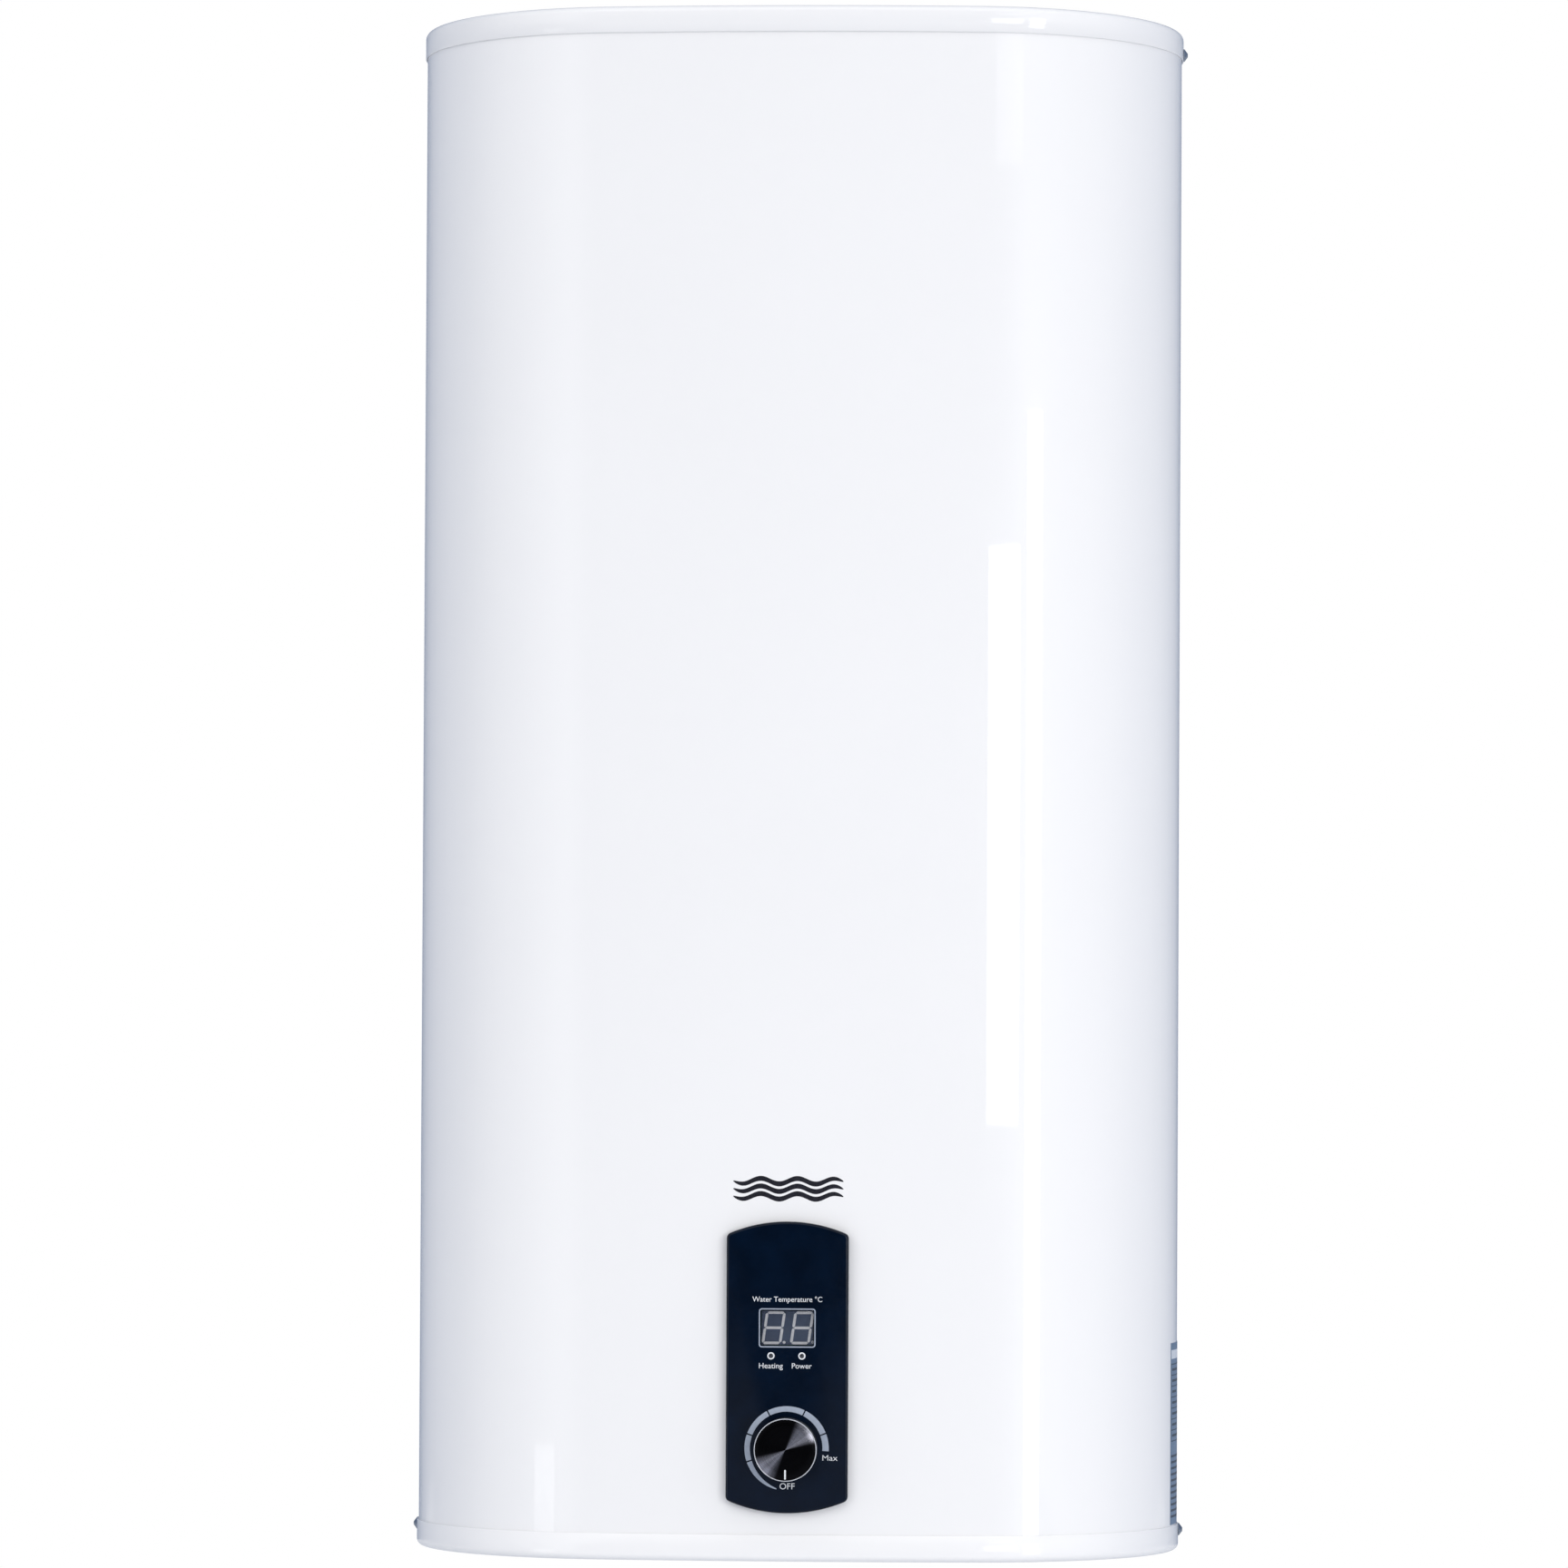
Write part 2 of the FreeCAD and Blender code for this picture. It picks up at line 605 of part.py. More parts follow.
def make_service_cover_screws():
    body = new_body("service_cover_screws")
    places = cover_screw_places()
    seat = DISH - size("cover_sheet")
    head_low = seat - 1.8
    pad(body, TOP, seat, DISH + 5, *(circle(x, y, size("cover_screw_radius")) for x, y in places))
    pad(body, TOP, head_low, seat, *(circle(x, y, size("cover_screw_radius") + 1.4) for x, y in places))
    dress(body, "Fillet", 0.9, flat_at("Z", head_low))


def pan_screw(x, depth, z, direction):
    """A pan-head screw: its head's underside is at the point and it drives along the direction."""
    axis = FreeCAD.Vector(*direction)
    seat = FreeCAD.Vector(float(x), -float(depth), float(z))
    rise = float(size("cap_screw_rise"))
    head = Part.makeCylinder(float(size("cap_screw_head")), rise, seat - axis * rise, axis)
    closed = [edge for edge in head.Edges if edge.Closed]
    outer_rim = [edge for edge in closed if edge.BoundBox.Center.distanceToPoint(seat) > 1]
    head = head.makeFillet(1.3, outer_rim)
    shank = Part.makeCylinder(float(size("cap_screw_radius")), 7, seat, axis)
    return head.fuse(shank).removeSplitter()


def make_cap_screws():
    low, high = screw_heights()
    side = size("casing_width") / 2
    rear = [(x, size("rear_seat")) for x in both(size("rear_screw_x"))]
    top_screws = [pan_screw(side, MIDDLE, high, (-1, 0, 0))]
    top_screws += [pan_screw(x, depth, high, (0, -1, 0)) for x, depth in rear]
    coded_piece("top_cap_screws", Part.makeCompound(top_screws))
    bottom_screws = [pan_screw(side * sign, MIDDLE, low, (-sign, 0, 0)) for sign in (-1, 1)]
    bottom_screws += [pan_screw(x, depth, low, (0, -1, 0)) for x, depth in rear]
    coded_piece("bottom_cap_screws", Part.makeCompound(bottom_screws))


def make_rating_plate():
    """A thin plate bent round the casing's right side."""
    body = new_body("rating_plate")
    centre_x = size("casing_width") / 2 - size("end_radius")
    inner = size("end_radius") - size("shell_inset")
    outer = inner + size("rating_sheet")
    front, rear = -14.2, 21.7  # degrees about the round side's centre, from straight to the side

    def corner(radius, angle):
        turned = math.radians(angle)
        return centre_x + radius * math.cos(turned), radius * math.sin(turned) - MIDDLE

    strip = path(
        (*corner(inner, front), inner),
        corner(inner, rear),
        (*corner(outer, rear), -outer),
        corner(outer, front),
    )
    pad(body, TOP, size("rating_bottom"), size("rating_top"), strip)


def make_foam():
    """Foam fills the casing around the tanks and leaves room for what passes through it."""
    body = new_body("foam_insulation")
    low = size("foam_bottom")
    gap = size("fit_gap")
    outline = casing_outline(size("shell_inset") + size("shell_sheet") + gap)
    pad(body, TOP, low, size("casing_height") - size("foam_headroom"), outline)
    for _, sign in SIDES:
        turn(body, "Groove", TANK_X * sign, tank_outside())
    pipes = [circle(x, -PIPE_DEPTH, size("pipe_radius") + gap) for x in both(TANK_X)]
    necks = [circle(x, -MIDDLE, size("neck_radius") + gap) for x in both(TANK_X)]
    pocket(body, TOP, low, size("tank_bottom") + size("dome_rise"), *pipes, *necks)
    between = size("tank_spacing") / 2 - 77
    pipe_tunnels = [circle(-MIDDLE, z, size("transfer_radius") + gap) for z in TRANSFER_HEIGHTS]
    pocket(body, SIDE, -between, between, *pipe_tunnels)
    near = size("backing_near")
    pocket(body, FRONT, near, near + size("backing_sheet"), *backing_outlines())
    bolts = [circle(x, z, size("bolt_radius") + gap) for x, z in bracket_bolt_places()]
    pocket(body, FRONT, BACK_WALL[0], 26, *bolts, circle(0, size("fill_height"), size("fill_radius")))
    half = size("opening_half")
    box_room = rectangle(-half, half, low - 7, size("opening_top") + 2)
    pocket(body, FRONT, size("box_back") - 2, size("panel_face"), box_room)


def backing_outlines():
    """The plates inside the foam that the bracket bolts screw into."""
    half = size("backing_half")
    return [rectangle(-half, half, z - 16, z + 12) for z in bracket_bolt_heights()]


def make_fill_plug():
    body = new_body("foam_fill_plug")
    centre = (0, size("fill_height"))
    seat = size("wall_gap") + 0.9
    button = seat - 1.9
    pad(body, FRONT, button, seat, circle(*centre, size("fill_radius") + 3))
    pad(body, FRONT, seat, seat + 13, circle(*centre, size("fill_radius") - 0.2))
    dress(body, "Fillet", 1.2, flat_at("Y", -button))


# ----------------------------------------------------------------------------------- wall brackets


def make_wall_bracket(label, slots_height):
    """A pressed strip: its flange follows the casing's back and its plate stands against the wall."""
    body = new_body(label)
    reach = size("bracket_half")
    thick = size("bracket_sheet")
    back = size("wall_gap") + size("shell_inset")
    flange_low = slots_height - size("flange_drop")
    web_top = slots_height - size("web_drop")
    plate_top = slots_height + size("bracket_rise")
    pad(body, TOP, flange_low, web_top, rectangle(-reach, reach, -(back + 6), -(back - thick)))
    surround = rectangle(-300, 300, -400, 100)
    pocket(body, TOP, flange_low, web_top, surround, casing_outline(size("shell_inset") - thick))
    pad(body, FRONT, 0, back + 6, rectangle(-reach, reach, web_top - thick, web_top))
    pad(body, FRONT, 0, thick, rectangle(-reach, reach, web_top - thick, plate_top))
    pocket(body, TOP, flange_low, web_top, casing_outline(size("shell_inset")))
    slot_shape = (slots_height, size("slot_length"), size("slot_radius"))
    pocket(body, FRONT, 0, thick, *(slot(x, *slot_shape) for x in both(size("slot_offset"))))
    bolt_height = slots_height - size("bolt_drop")
    bolt_holes = [circle(x, bolt_height, size("bolt_radius") + 0.4) for x in both(size("rear_screw_x"))]
    pocket(body, FRONT, *BACK_WALL, *bolt_holes)
    corner_rounds = flat_at("Z", plate_top)
    dress(body, "Fillet", 6, lambda edge: along("Y")(edge) and corner_rounds(edge))


def make_bracket_bolts():
    body = new_body("bracket_bolts")
    places = bracket_bolt_places()
    front = size("bolt_head_front")
    pad(body, FRONT, front, 25, *(circle(x, z, size("bolt_radius")) for x, z in places))
    pad(body, FRONT, front - size("bolt_head_rise"), front, *(hexagon(x, z, 13) for x, z in places))


def make_backing_plates():
    body = new_body("bracket_backing_plates")
    near = size("backing_near")
    far = near + size("backing_sheet")
    pad(body, FRONT, near, far, *backing_outlines())
    bolt_holes = [circle(x, z, size("bolt_radius") + size("fit_gap")) for x, z in bracket_bolt_places()]
    pocket(body, FRONT, near, far, *bolt_holes)


# ------------------------------------------------------------------------------------ water system


def dome_radius(inset):
    """The radius of a dished end whose rim and rise are both smaller by inset."""
    rim = size("tank_radius") - inset
    rise = size("dome_rise") - inset
    return (rim * rim + rise * rise) / (rise * 2)


def tank_outside():
    rim = size("tank_radius")
    low, high = size("tank_bottom"), size("tank_top")
    rise = size("dome_rise")
    bulge = dome_radius(0)
    return path((0, low, bulge), (rim, low + rise), (rim, high - rise, bulge), (0, high))


def make_tank(label, sign):
    """A welded stainless cylinder with two dished ends."""
    body = new_body(label)
    rim = size("tank_radius")
    sheet_metal = size("tank_sheet")
    low, high = size("tank_bottom"), size("tank_top")
    rise = size("dome_rise")
    outer, inner = dome_radius(0), dome_radius(sheet_metal)
    inner_rim = rim - sheet_metal
    wall = path(
        (0, low, outer),
        (rim, low + rise),
        (rim, high - rise, outer),
        (0, high),
        (0, high - sheet_metal, -inner),
        (inner_rim, high - rise),
        (inner_rim, low + rise, -inner),
        (0, low + sheet_metal),
    )
    turn(body, "Revolution", TANK_X * sign, wall)
    pocket(
        body,
        TOP,
        low - 2,
        low + 25,
        circle(TANK_X * sign, -MIDDLE, size("neck_radius")),
        circle(TANK_X * sign, -PIPE_DEPTH, size("pipe_radius")),
    )
    near, far = (4, 30) if sign > 0 else (-30, -4)  # spans the tank's wall that faces the other tank
    pocket(body, SIDE, near, far, *(circle(-MIDDLE, z, size("transfer_radius")) for z in TRANSFER_HEIGHTS))


def make_transfer_pipes():
    """Two short pipes join the tanks, one low and one high."""
    body = new_body("transfer_pipes")
    outer = size("transfer_radius")
    rings = [circle(-MIDDLE, z, outer - wall) for z in TRANSFER_HEIGHTS for wall in (0, 1)]
    pad(body, SIDE, -12, 12, *rings)


def flange_bolt_places(sign):
    steps = [math.radians(30 + 60 * step) for step in range(6)]
    radius = size("flange_bolt_circle")
    return [(TANK_X * sign + radius * math.cos(a), radius * math.sin(a) - MIDDLE) for a in steps]


def make_neck_and_flange(side, sign):
    """The tank's welded neck, the gasket and the plate that carries the heating element."""
    x = TANK_X * sign
    bore = size("neck_radius") - size("neck_wall")
    bolt_holes = [circle(bx, by, size("flange_bolt_radius") + 0.2) for bx, by in flange_bolt_places(sign)]
    flange = circle(x, -MIDDLE, size("flange_radius"))
    neck_top = size("tank_bottom") + 6

    neck = new_body(f"{side}_flange_neck")
    pad(neck, TOP, FLANGE_FACE, size("flange_top"), flange)
    pad(neck, TOP, size("flange_top"), neck_top, circle(x, -MIDDLE, size("neck_radius")))
    pocket(neck, TOP, FLANGE_FACE, neck_top, circle(x, -MIDDLE, bore), *bolt_holes)

    gasket = new_body(f"{side}_flange_gasket")
    ring = circle(x, -MIDDLE, bore), circle(x, -MIDDLE, size("gasket_radius"))
    pad(gasket, TOP, GASKET_FACE, FLANGE_FACE, *ring)

    plate = new_body(f"{side}_element_flange")
    pad(plate, TOP, PLATE_FACE, GASKET_FACE, flange)
    legs = [circle(x + leg, -MIDDLE, size("element_radius")) for leg in both(size("leg_offset"))]
    stud = circle(x, -MIDDLE - size("rod_offset"), size("stud_radius"))
    well = circle(x, -MIDDLE + size("rod_offset"), size("well_radius"))
    pocket(plate, TOP, PLATE_FACE, GASKET_FACE, *legs, stud, well, *bolt_holes)


def make_flange_bolts():
    body = new_body("flange_bolts")
    places = flange_bolt_places(-1) + flange_bolt_places(1)
    shanks = [circle(x, y, size("flange_bolt_radius")) for x, y in places]
    pad(body, TOP, PLATE_FACE, size("flange_top") + 2, *shanks)
    pad(body, TOP, PLATE_FACE - 4, PLATE_FACE, *(hexagon(x, y, 9) for x, y in places))


def make_heating_element(side, sign):
    """A sheathed element bent into a hairpin, with a cold pin below each leg."""
    body = new_body(f"{side}_heating_element")
    x = TANK_X * sign
    leg = size("leg_offset")
    low, high = PLATE_FACE - 10, size("element_top")
    hairpin = path(
        (x - leg, low),
        (x - leg, high, -leg),
        (x, high + leg, -leg),
        (x + leg, high),
        (x + leg, low),
        closed=False,
    )
    route = new_sketch(body, FRONT, MIDDLE, [hairpin])
    section = new_sketch(body, TOP, low, [circle(x - leg, -MIDDLE, size("element_radius"))])
    rod = body.newObject("PartDesign::AdditivePipe", "hairpin")
    rod.Profile = section
    rod.Spine = (route, ["Edge1", "Edge2", "Edge3", "Edge4"])
    pad(body, TOP, low - 12, low, circle(x - leg, -MIDDLE, 2), circle(x + leg, -MIDDLE, 2))


def make_anode_rod(side, sign):
    body = new_body(f"{side}_anode_rod")
    place = (TANK_X * sign, -MIDDLE - size("rod_offset"))
    pad(body, TOP, GASKET_FACE, size("anode_top"), circle(*place, size("anode_radius")))
    pad(body, TOP, PLATE_FACE - 8, GASKET_FACE, circle(*place, size("stud_radius")))
    pad(body, TOP, PLATE_FACE - 4, PLATE_FACE, hexagon(*place, 8))


def make_thermowell(side, sign):
    place = (TANK_X * sign, -MIDDLE + size("rod_offset"))
    low, high = PLATE_FACE - 4, size("well_top")
    tube = new_body(f"{side}_thermowell")
    pad(tube, TOP, low, high, circle(*place, size("well_radius")))
    pocket(tube, TOP, low, high - 2, circle(*place, size("well_bore")))
    probe = new_body(f"{side}_sensor_probe")
    pad(probe, TOP, high - 40, high - 4, circle(*place, size("well_bore") - 0.3))
    pad(probe, TOP, PLATE_FACE - 20, high - 40, circle(*place, 1.2))


def make_water_pipe(label, sign, top):
    """A pipe into the tank with a threaded end below the casing."""
    body = new_body(label)
    place = (TANK_X * sign, -PIPE_DEPTH)
    thread_low = -size("thread_reach")
    thread_high = DISH + 6
    pad(body, TOP, thread_low, thread_high, circle(*place, size("thread_radius")))
    pad(body, TOP, thread_high, top, circle(*place, size("pipe_radius")))
    pocket(body, TOP, thread_low, top, circle(*place, size("pipe_radius") - 1.5))


def make_diffuser():
    """A slotted cap over the inlet spreads the cold water along the tank's floor."""
    body = new_body("cold_diffuser")
    place = (-TANK_X, -PIPE_DEPTH)
    low, high = length(118), length(142)
    pad(body, TOP, low, high, circle(*place, size("pipe_radius") + 1.8))
    pocket(body, TOP, low, high - 2, circle(*place, size("pipe_radius")))
    windows = [rectangle(-TANK_X - 16, -TANK_X + 16, high - rise, high - rise + 2) for rise in (10, 6)]
    pocket(body, FRONT, PIPE_DEPTH - 4, PIPE_DEPTH + 4, *windows)


def make_marker_ring(label, sign):
    body = new_body(label)
    place = (TANK_X * sign, -PIPE_DEPTH)
    low = DISH - 2.5
    pad(body, TOP, low, DISH, circle(*place, size("pipe_hole") + 5), circle(*place, size("pipe_hole")))
    dress(body, "Fillet", 0.8, flat_at("Z", low))


# ----------------------------------------------------------------------------------- control panel


def window(grow):
    """The display's rectangle, larger by grow all round."""
    across = size("window_half_width") + grow
    rise = size("window_half_height") + grow
    return rectangle(-across, across, size("window_height") - rise, size("window_height") + rise)


def board_screw_places():
    heights = (size("board_bottom") + 4, size("board_top") - 5)
    return [(x, z) for x in both(size("board_half") - 3.5) for z in heights]


def light_places():
    return [(x, size("light_height")) for x in (-8.9, 8.2)]


def make_control_panel():
    """A moulded face plate with arched ends, and a box behind it that goes through the shell."""
    body = new_body("control_panel")
    half = size("panel_half")
    arch = size("panel_arch")
    bulge = (half * half + arch * arch) / (arch * 2)
    low, high = size("panel_bottom") + arch, size("panel_top") - arch
    face = path((-half, low, bulge), (half, low), (half, high, bulge), (-half, high))
    pad(body, FRONT, size("panel_back"), size("panel_face"), face)
    dress(body, "Fillet", 3.5, along("Y"))
    dress(body, "Fillet", 1.8, flat_at("Y", -size("panel_face")))
    box_back, wall = size("box_back"), size("box_wall")
    inside = rectangle(wall - BOX_HALF, BOX_HALF - wall, BOX_BOTTOM + wall, BOX_TOP - wall)
    pad(body, FRONT, box_back, size("panel_back"), rectangle(-BOX_HALF, BOX_HALF, BOX_BOTTOM, BOX_TOP))
    pocket(body, FRONT, box_back, PANEL_SKIN, inside)
    pocket(body, FRONT, PANEL_SKIN, size("panel_face"), window(-size("pane_sheet")))
    pocket(body, FRONT, size("panel_face") - size("pane_sheet"), size("panel_face"), window(0))
    lights = [circle(x, z, size("light_radius") + size("fit_gap")) for x, z in light_places()]
    bushing = circle(0, size("knob_height"), size("bushing_radius") + size("fit_gap"))
    pocket(body, FRONT, PANEL_SKIN, size("panel_face"), bushing, *lights)
    posts = [circle(x, z, 2.6) for x, z in board_screw_places()]
    pilots = [circle(x, z, size("board_screw_radius")) for x, z in board_screw_places()]
    pad(body, FRONT, BOARD_FRONT, PANEL_SKIN, *posts)
    pocket(body, FRONT, BOARD_FRONT, BOARD_FRONT + 10, *pilots)


def make_display():
    pane = new_body("display_window")
    seat = size("panel_face") - size("pane_sheet")
    pad(pane, FRONT, seat, seat + 1, window(-size("fit_gap")))
    module = new_body("display_module")
    pad(module, FRONT, BOARD_FRONT, PANEL_SKIN - 0.2, window(-1.5))
    lights = new_body("indicator_lights")
    dots = [circle(x, z, size("light_radius")) for x, z in light_places()]
    pad(lights, FRONT, BOARD_FRONT, size("panel_face"), *dots)


def make_control_board():
    board = new_body("control_board")
    back, half = size("board_back"), size("board_half")
    places = board_screw_places()
    radius = size("board_screw_radius")
    pad(board, FRONT, back, BOARD_FRONT, rectangle(-half, half, size("board_bottom"), size("board_top")))
    pocket(board, FRONT, back, BOARD_FRONT, *(circle(x, z, radius + size("fit_gap")) for x, z in places))
    screws = new_body("board_screws")
    pad(screws, FRONT, back, BOARD_FRONT + 9, *(circle(x, z, radius) for x, z in places))
    pad(screws, FRONT, back - 1.6, back, *(circle(x, z, radius + 1.2) for x, z in places))


def make_potentiometer():
    """The control that the knob turns: its body sits on the board and its bushing in the panel."""
    centre = (0, size("knob_height"))
    front_of_bushing = size("panel_face") + 2.4
    front_of_can = BOARD_FRONT + 10
    bottom_of_bore = BOARD_FRONT + 2
    bushing = circle(*centre, size("bushing_radius"))
    body = new_body("potentiometer_body")
    pad(body, FRONT, BOARD_FRONT, front_of_can, circle(*centre, 8.5))
    pad(body, FRONT, front_of_can, front_of_bushing, bushing)
    pocket(body, FRONT, bottom_of_bore, front_of_bushing, circle(*centre, size("shaft_bore")))
    nut = new_body("potentiometer_nut")
    pad(nut, FRONT, size("panel_face"), size("panel_face") + 2, hexagon(*centre, 10), bushing)
    shaft = new_body("potentiometer_shaft")
    pad(shaft, FRONT, bottom_of_bore + 0.2, SHAFT_END, circle(*centre, size("shaft_radius")))


def make_knob():
    centre = (0, size("knob_height"))
    back, front = size("knob_back"), size("knob_front") - 1.2
    radius = size("knob_radius")
    face_radius = radius - 0.95

    body = new_body("knob_body")
    pad(body, FRONT, back, front, circle(*centre, radius))
    dress(body, "Fillet", 0.8, flat_at("Y", -back))
    hollow, hub = circle(*centre, radius - 2), circle(*centre, 5.5)
    pocket(body, FRONT, back, back + 2.4, hollow)
    pocket(body, FRONT, back + 2.4, front - 2.5, hollow, hub)
    pocket(body, FRONT, back, SHAFT_END, circle(*centre, size("shaft_radius")))

    face = new_body("knob_face")
    face_front = front + 0.9
    pad(face, FRONT, front, face_front, circle(*centre, face_radius))

    ring = new_body("knob_trim_ring")
    pad(ring, FRONT, front, size("knob_front"), circle(*centre, radius), circle(*centre, face_radius))
    outer_rim = flat_at("Y", -size("knob_front"))
    dress(ring, "Chamfer", 0.7, lambda edge: outer_rim(edge) and edge.Curve.Radius > radius.number - 0.1)

    pointer = new_body("knob_pointer")
    tip, tail = size("knob_height") - face_radius + 0.2, size("knob_height") - radius * 0.63
    pad(pointer, FRONT, face_front, face_front + 0.15, rectangle(-0.45, 0.45, tip, tail))


# ------------------------------------------------------------------------------- electrics in the bay


def make_board_bracket():
    """A steel plate on two legs behind the relay board, with a shelf that carries the cut-out."""
    body = new_body("board_bracket")
    back, half, thick = size("bay_plate"), size("bay_half"), size("bay_sheet")
    face = back + thick
    low, high = length(16), length(84)
    shelf = size("cutout_top")
    legs = rectangle(-half, 2 - half, low, high), rectangle(half - 2, half, low, high)
    pad(body, FRONT, back, face, rectangle(-half, half, low, high))
    pad(body, FRONT, size("wall_gap") + 4.5, back, *legs)
    shelf_end = size("cutout_depth") + size("cutout_half")
    pad(body, FRONT, face, shelf_end, rectangle(-12, 12, shelf, shelf + thick))
    standoffs = [circle(x, z, 3) for x in both(half - 10) for z in (low + 8, high - 8)]
    pad(body, FRONT, face, size("relay_board_back"), *standoffs)


def make_relay_board():
    """A board notched round the shelf, with two relays above a row of screw terminals."""
    board = new_body("relay_board")
    back, half = size("relay_board_back"), size("relay_board_half")
    face = back + size("board_sheet")
    notch_half, notch_low, board_high = length(14), length(68), length(80)
    below = rectangle(-half, half, 20, notch_low)
    beside = [rectangle(*ends, notch_low, board_high) for ends in ((-half, -notch_half), (notch_half, half))]
    pad(board, FRONT, back, face, below, *beside)
    relays = new_body("relays")
    relay_ends = ((-32, -13), (13, 32))
    pad(relays, FRONT, face, face + 15.4, *(rectangle(*ends, 46, 62) for ends in relay_ends))
    terminals = new_body("terminal_block")
    pad(terminals, FRONT, face, TERMINAL_FACE, rectangle(-28, 28, 24, 36))
    pocket(terminals, FRONT, TERMINAL_FACE - 1, TERMINAL_FACE, *(circle(x, 33, 2) for x in TERMINALS))


def make_thermal_cutout():
    """A safety cut-out whose reset button is pushed up through the open service cover."""
    depth, half = size("cutout_depth"), size("cutout_half")
    low, high = size("cutout_bottom"), size("cutout_top")
    centre = (0, -depth)
    collar_low = low - 3
    body = new_body("thermal_cutout")
    pad(body, TOP, low, high, rectangle(-17, 17, -depth - half, half - depth))
    dress(body, "Fillet", 2, along("Z"))
    pad(body, TOP, collar_low, low, circle(*centre, 7))
    pocket(body, TOP, collar_low, low + 10, circle(*centre, size("button_bore")))
    button = new_body("cutout_reset_button")
    button_low = size("button_low")
    pad(button, TOP, button_low, low + 7, circle(*centre, size("button_radius")))
    dress(button, "Fillet", 0.8, flat_at("Z", button_low))


def make_wiring():
    """The harness to the control board, and one lead to each heating element pin."""
    relay_board_face = size("relay_board_back") + size("board_sheet")
    harness = [(18, size("board_back"), 52), (18, 222, 52), (38, 190, 58), (38, 90, 56)]
    harness.append((38, relay_board_face, 56))
    coded_piece("control_harness", bent_rod(harness, 14, 2.5))
    leads = []
    pin_end = PLATE_FACE - 22
    for start_x, (side, leg) in zip(TERMINALS, ((-1, -1), (-1, 1), (1, -1), (1, 1))):
        pin_x = TANK_X * side + size("leg_offset") * leg
        low = 29 if leg == side else 37
        route = [(start_x, TERMINAL_FACE, 29), (start_x, TERMINAL_FACE + 26, 29)]
        route += [(pin_x, MIDDLE - 24, low), (pin_x, MIDDLE, low), (pin_x, MIDDLE, pin_end)]
        leads.append(bent_rod(route, 9, 1.6))
    coded_piece("element_leads", Part.makeCompound(leads))


def make_cable_gland():
    centre = (0, -size("gland_depth"))
    low, high = DISH - 5, DISH + 12
    thread = circle(*centre, size("gland_radius"))
    gland = new_body("cable_gland")
    pad(gland, TOP, low, DISH, hexagon(*centre, 20))
    pad(gland, TOP, DISH, high, thread)
    pocket(gland, TOP, low, high, circle(*centre, size("gland_bore")))
    nut = new_body("gland_nut")
    pad(nut, TOP, FLOOR, FLOOR + 4, hexagon(*centre, 21), thread)


# ------------------------------------------------------------------------------------ whole heater


def make_everything():
    make_outer_shell()
    make_top_cap()
    make_bottom_cap()
    make_service_cover()
    make_service_cover_screws()
    make_cap_screws()
    make_rating_plate()
    make_foam()
    make_fill_plug()
    make_wall_bracket("upper_wall_bracket", size("hanger_height"))
    make_wall_bracket("lower_wall_bracket", size("lower_height"))
    make_bracket_bolts()
    make_backing_plates()
    for side, sign in SIDES:
        make_tank(f"{side}_tank", sign)
        make_neck_and_flange(side, sign)
        make_heating_element(side, sign)
        make_anode_rod(side, sign)
        make_thermowell(side, sign)
    make_flange_bolts()
    make_transfer_pipes()
    make_water_pipe("cold_inlet_pipe", -1, length(130))
    make_water_pipe("hot_outlet_pipe", 1, length(800))
    make_diffuser()
    make_marker_ring("cold_marker_ring", -1)
    make_marker_ring("hot_marker_ring", 1)
    make_control_panel()
    make_display()
    make_control_board()
    make_potentiometer()
    make_knob()
    make_board_bracket()
    make_relay_board()
    make_thermal_cutout()
    make_wiring()
    make_cable_gland()


def check_document(pieces):
    """Stops if any object failed, any cut cut nothing, or any piece isn't sound."""
    for item in doc.Objects:
        if "Invalid" in item.State or "Error" in item.State:
            raise RuntimeError(f"{item.Label} failed: {item.State}")
        if item.TypeId in ("PartDesign::Pocket", "PartDesign::Groove"):
            if item.Shape.Volume >= item.BaseFeature.Shape.Volume - 1e-6:
                raise RuntimeError(f"{item.Label} cuts nothing")
    for piece in pieces:
        if piece.Shape.isNull() or not piece.Shape.isValid() or not piece.Shape.Solids:
            raise RuntimeError(f"{piece.Label} has no sound shape")


make_everything()
pieces = [item for item in doc.Objects if item.TypeId in ("PartDesign::Body", "Part::Feature")]
for piece in pieces:
    piece.setExpression("Placement.Base.z", "-Sizes.hanger_height")
doc.recompute()
check_document(pieces)

os.makedirs("parts", exist_ok=True)
for piece in pieces:
    piece.Shape.exportStep(os.path.join("parts", f"{piece.Label}.step"))
    solids = len(piece.Shape.Solids)
    print(f"{piece.Label}: {solids} solid(s), {piece.Shape.Volume / 1000:.2f} cm3")
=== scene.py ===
import math

import bpy
from mathutils import Matrix, Vector


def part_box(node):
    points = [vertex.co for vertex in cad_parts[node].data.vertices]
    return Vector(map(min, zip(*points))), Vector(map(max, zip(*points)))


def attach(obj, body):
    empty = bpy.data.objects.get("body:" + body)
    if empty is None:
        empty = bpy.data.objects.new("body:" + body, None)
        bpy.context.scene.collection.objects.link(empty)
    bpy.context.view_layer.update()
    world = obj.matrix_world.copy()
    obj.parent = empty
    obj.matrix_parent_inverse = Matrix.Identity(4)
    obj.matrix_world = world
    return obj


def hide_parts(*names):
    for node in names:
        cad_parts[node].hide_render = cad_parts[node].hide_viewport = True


# The looks of a flat, wall-hung tank water heater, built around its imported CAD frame.
#
# Lengths are in metres unless a value is written as a number times MM. The casing faces -Y, the wall is
# the plane y = 0 and +Z is up. Depths, as in the CAD source, are measured from the wall to the room.

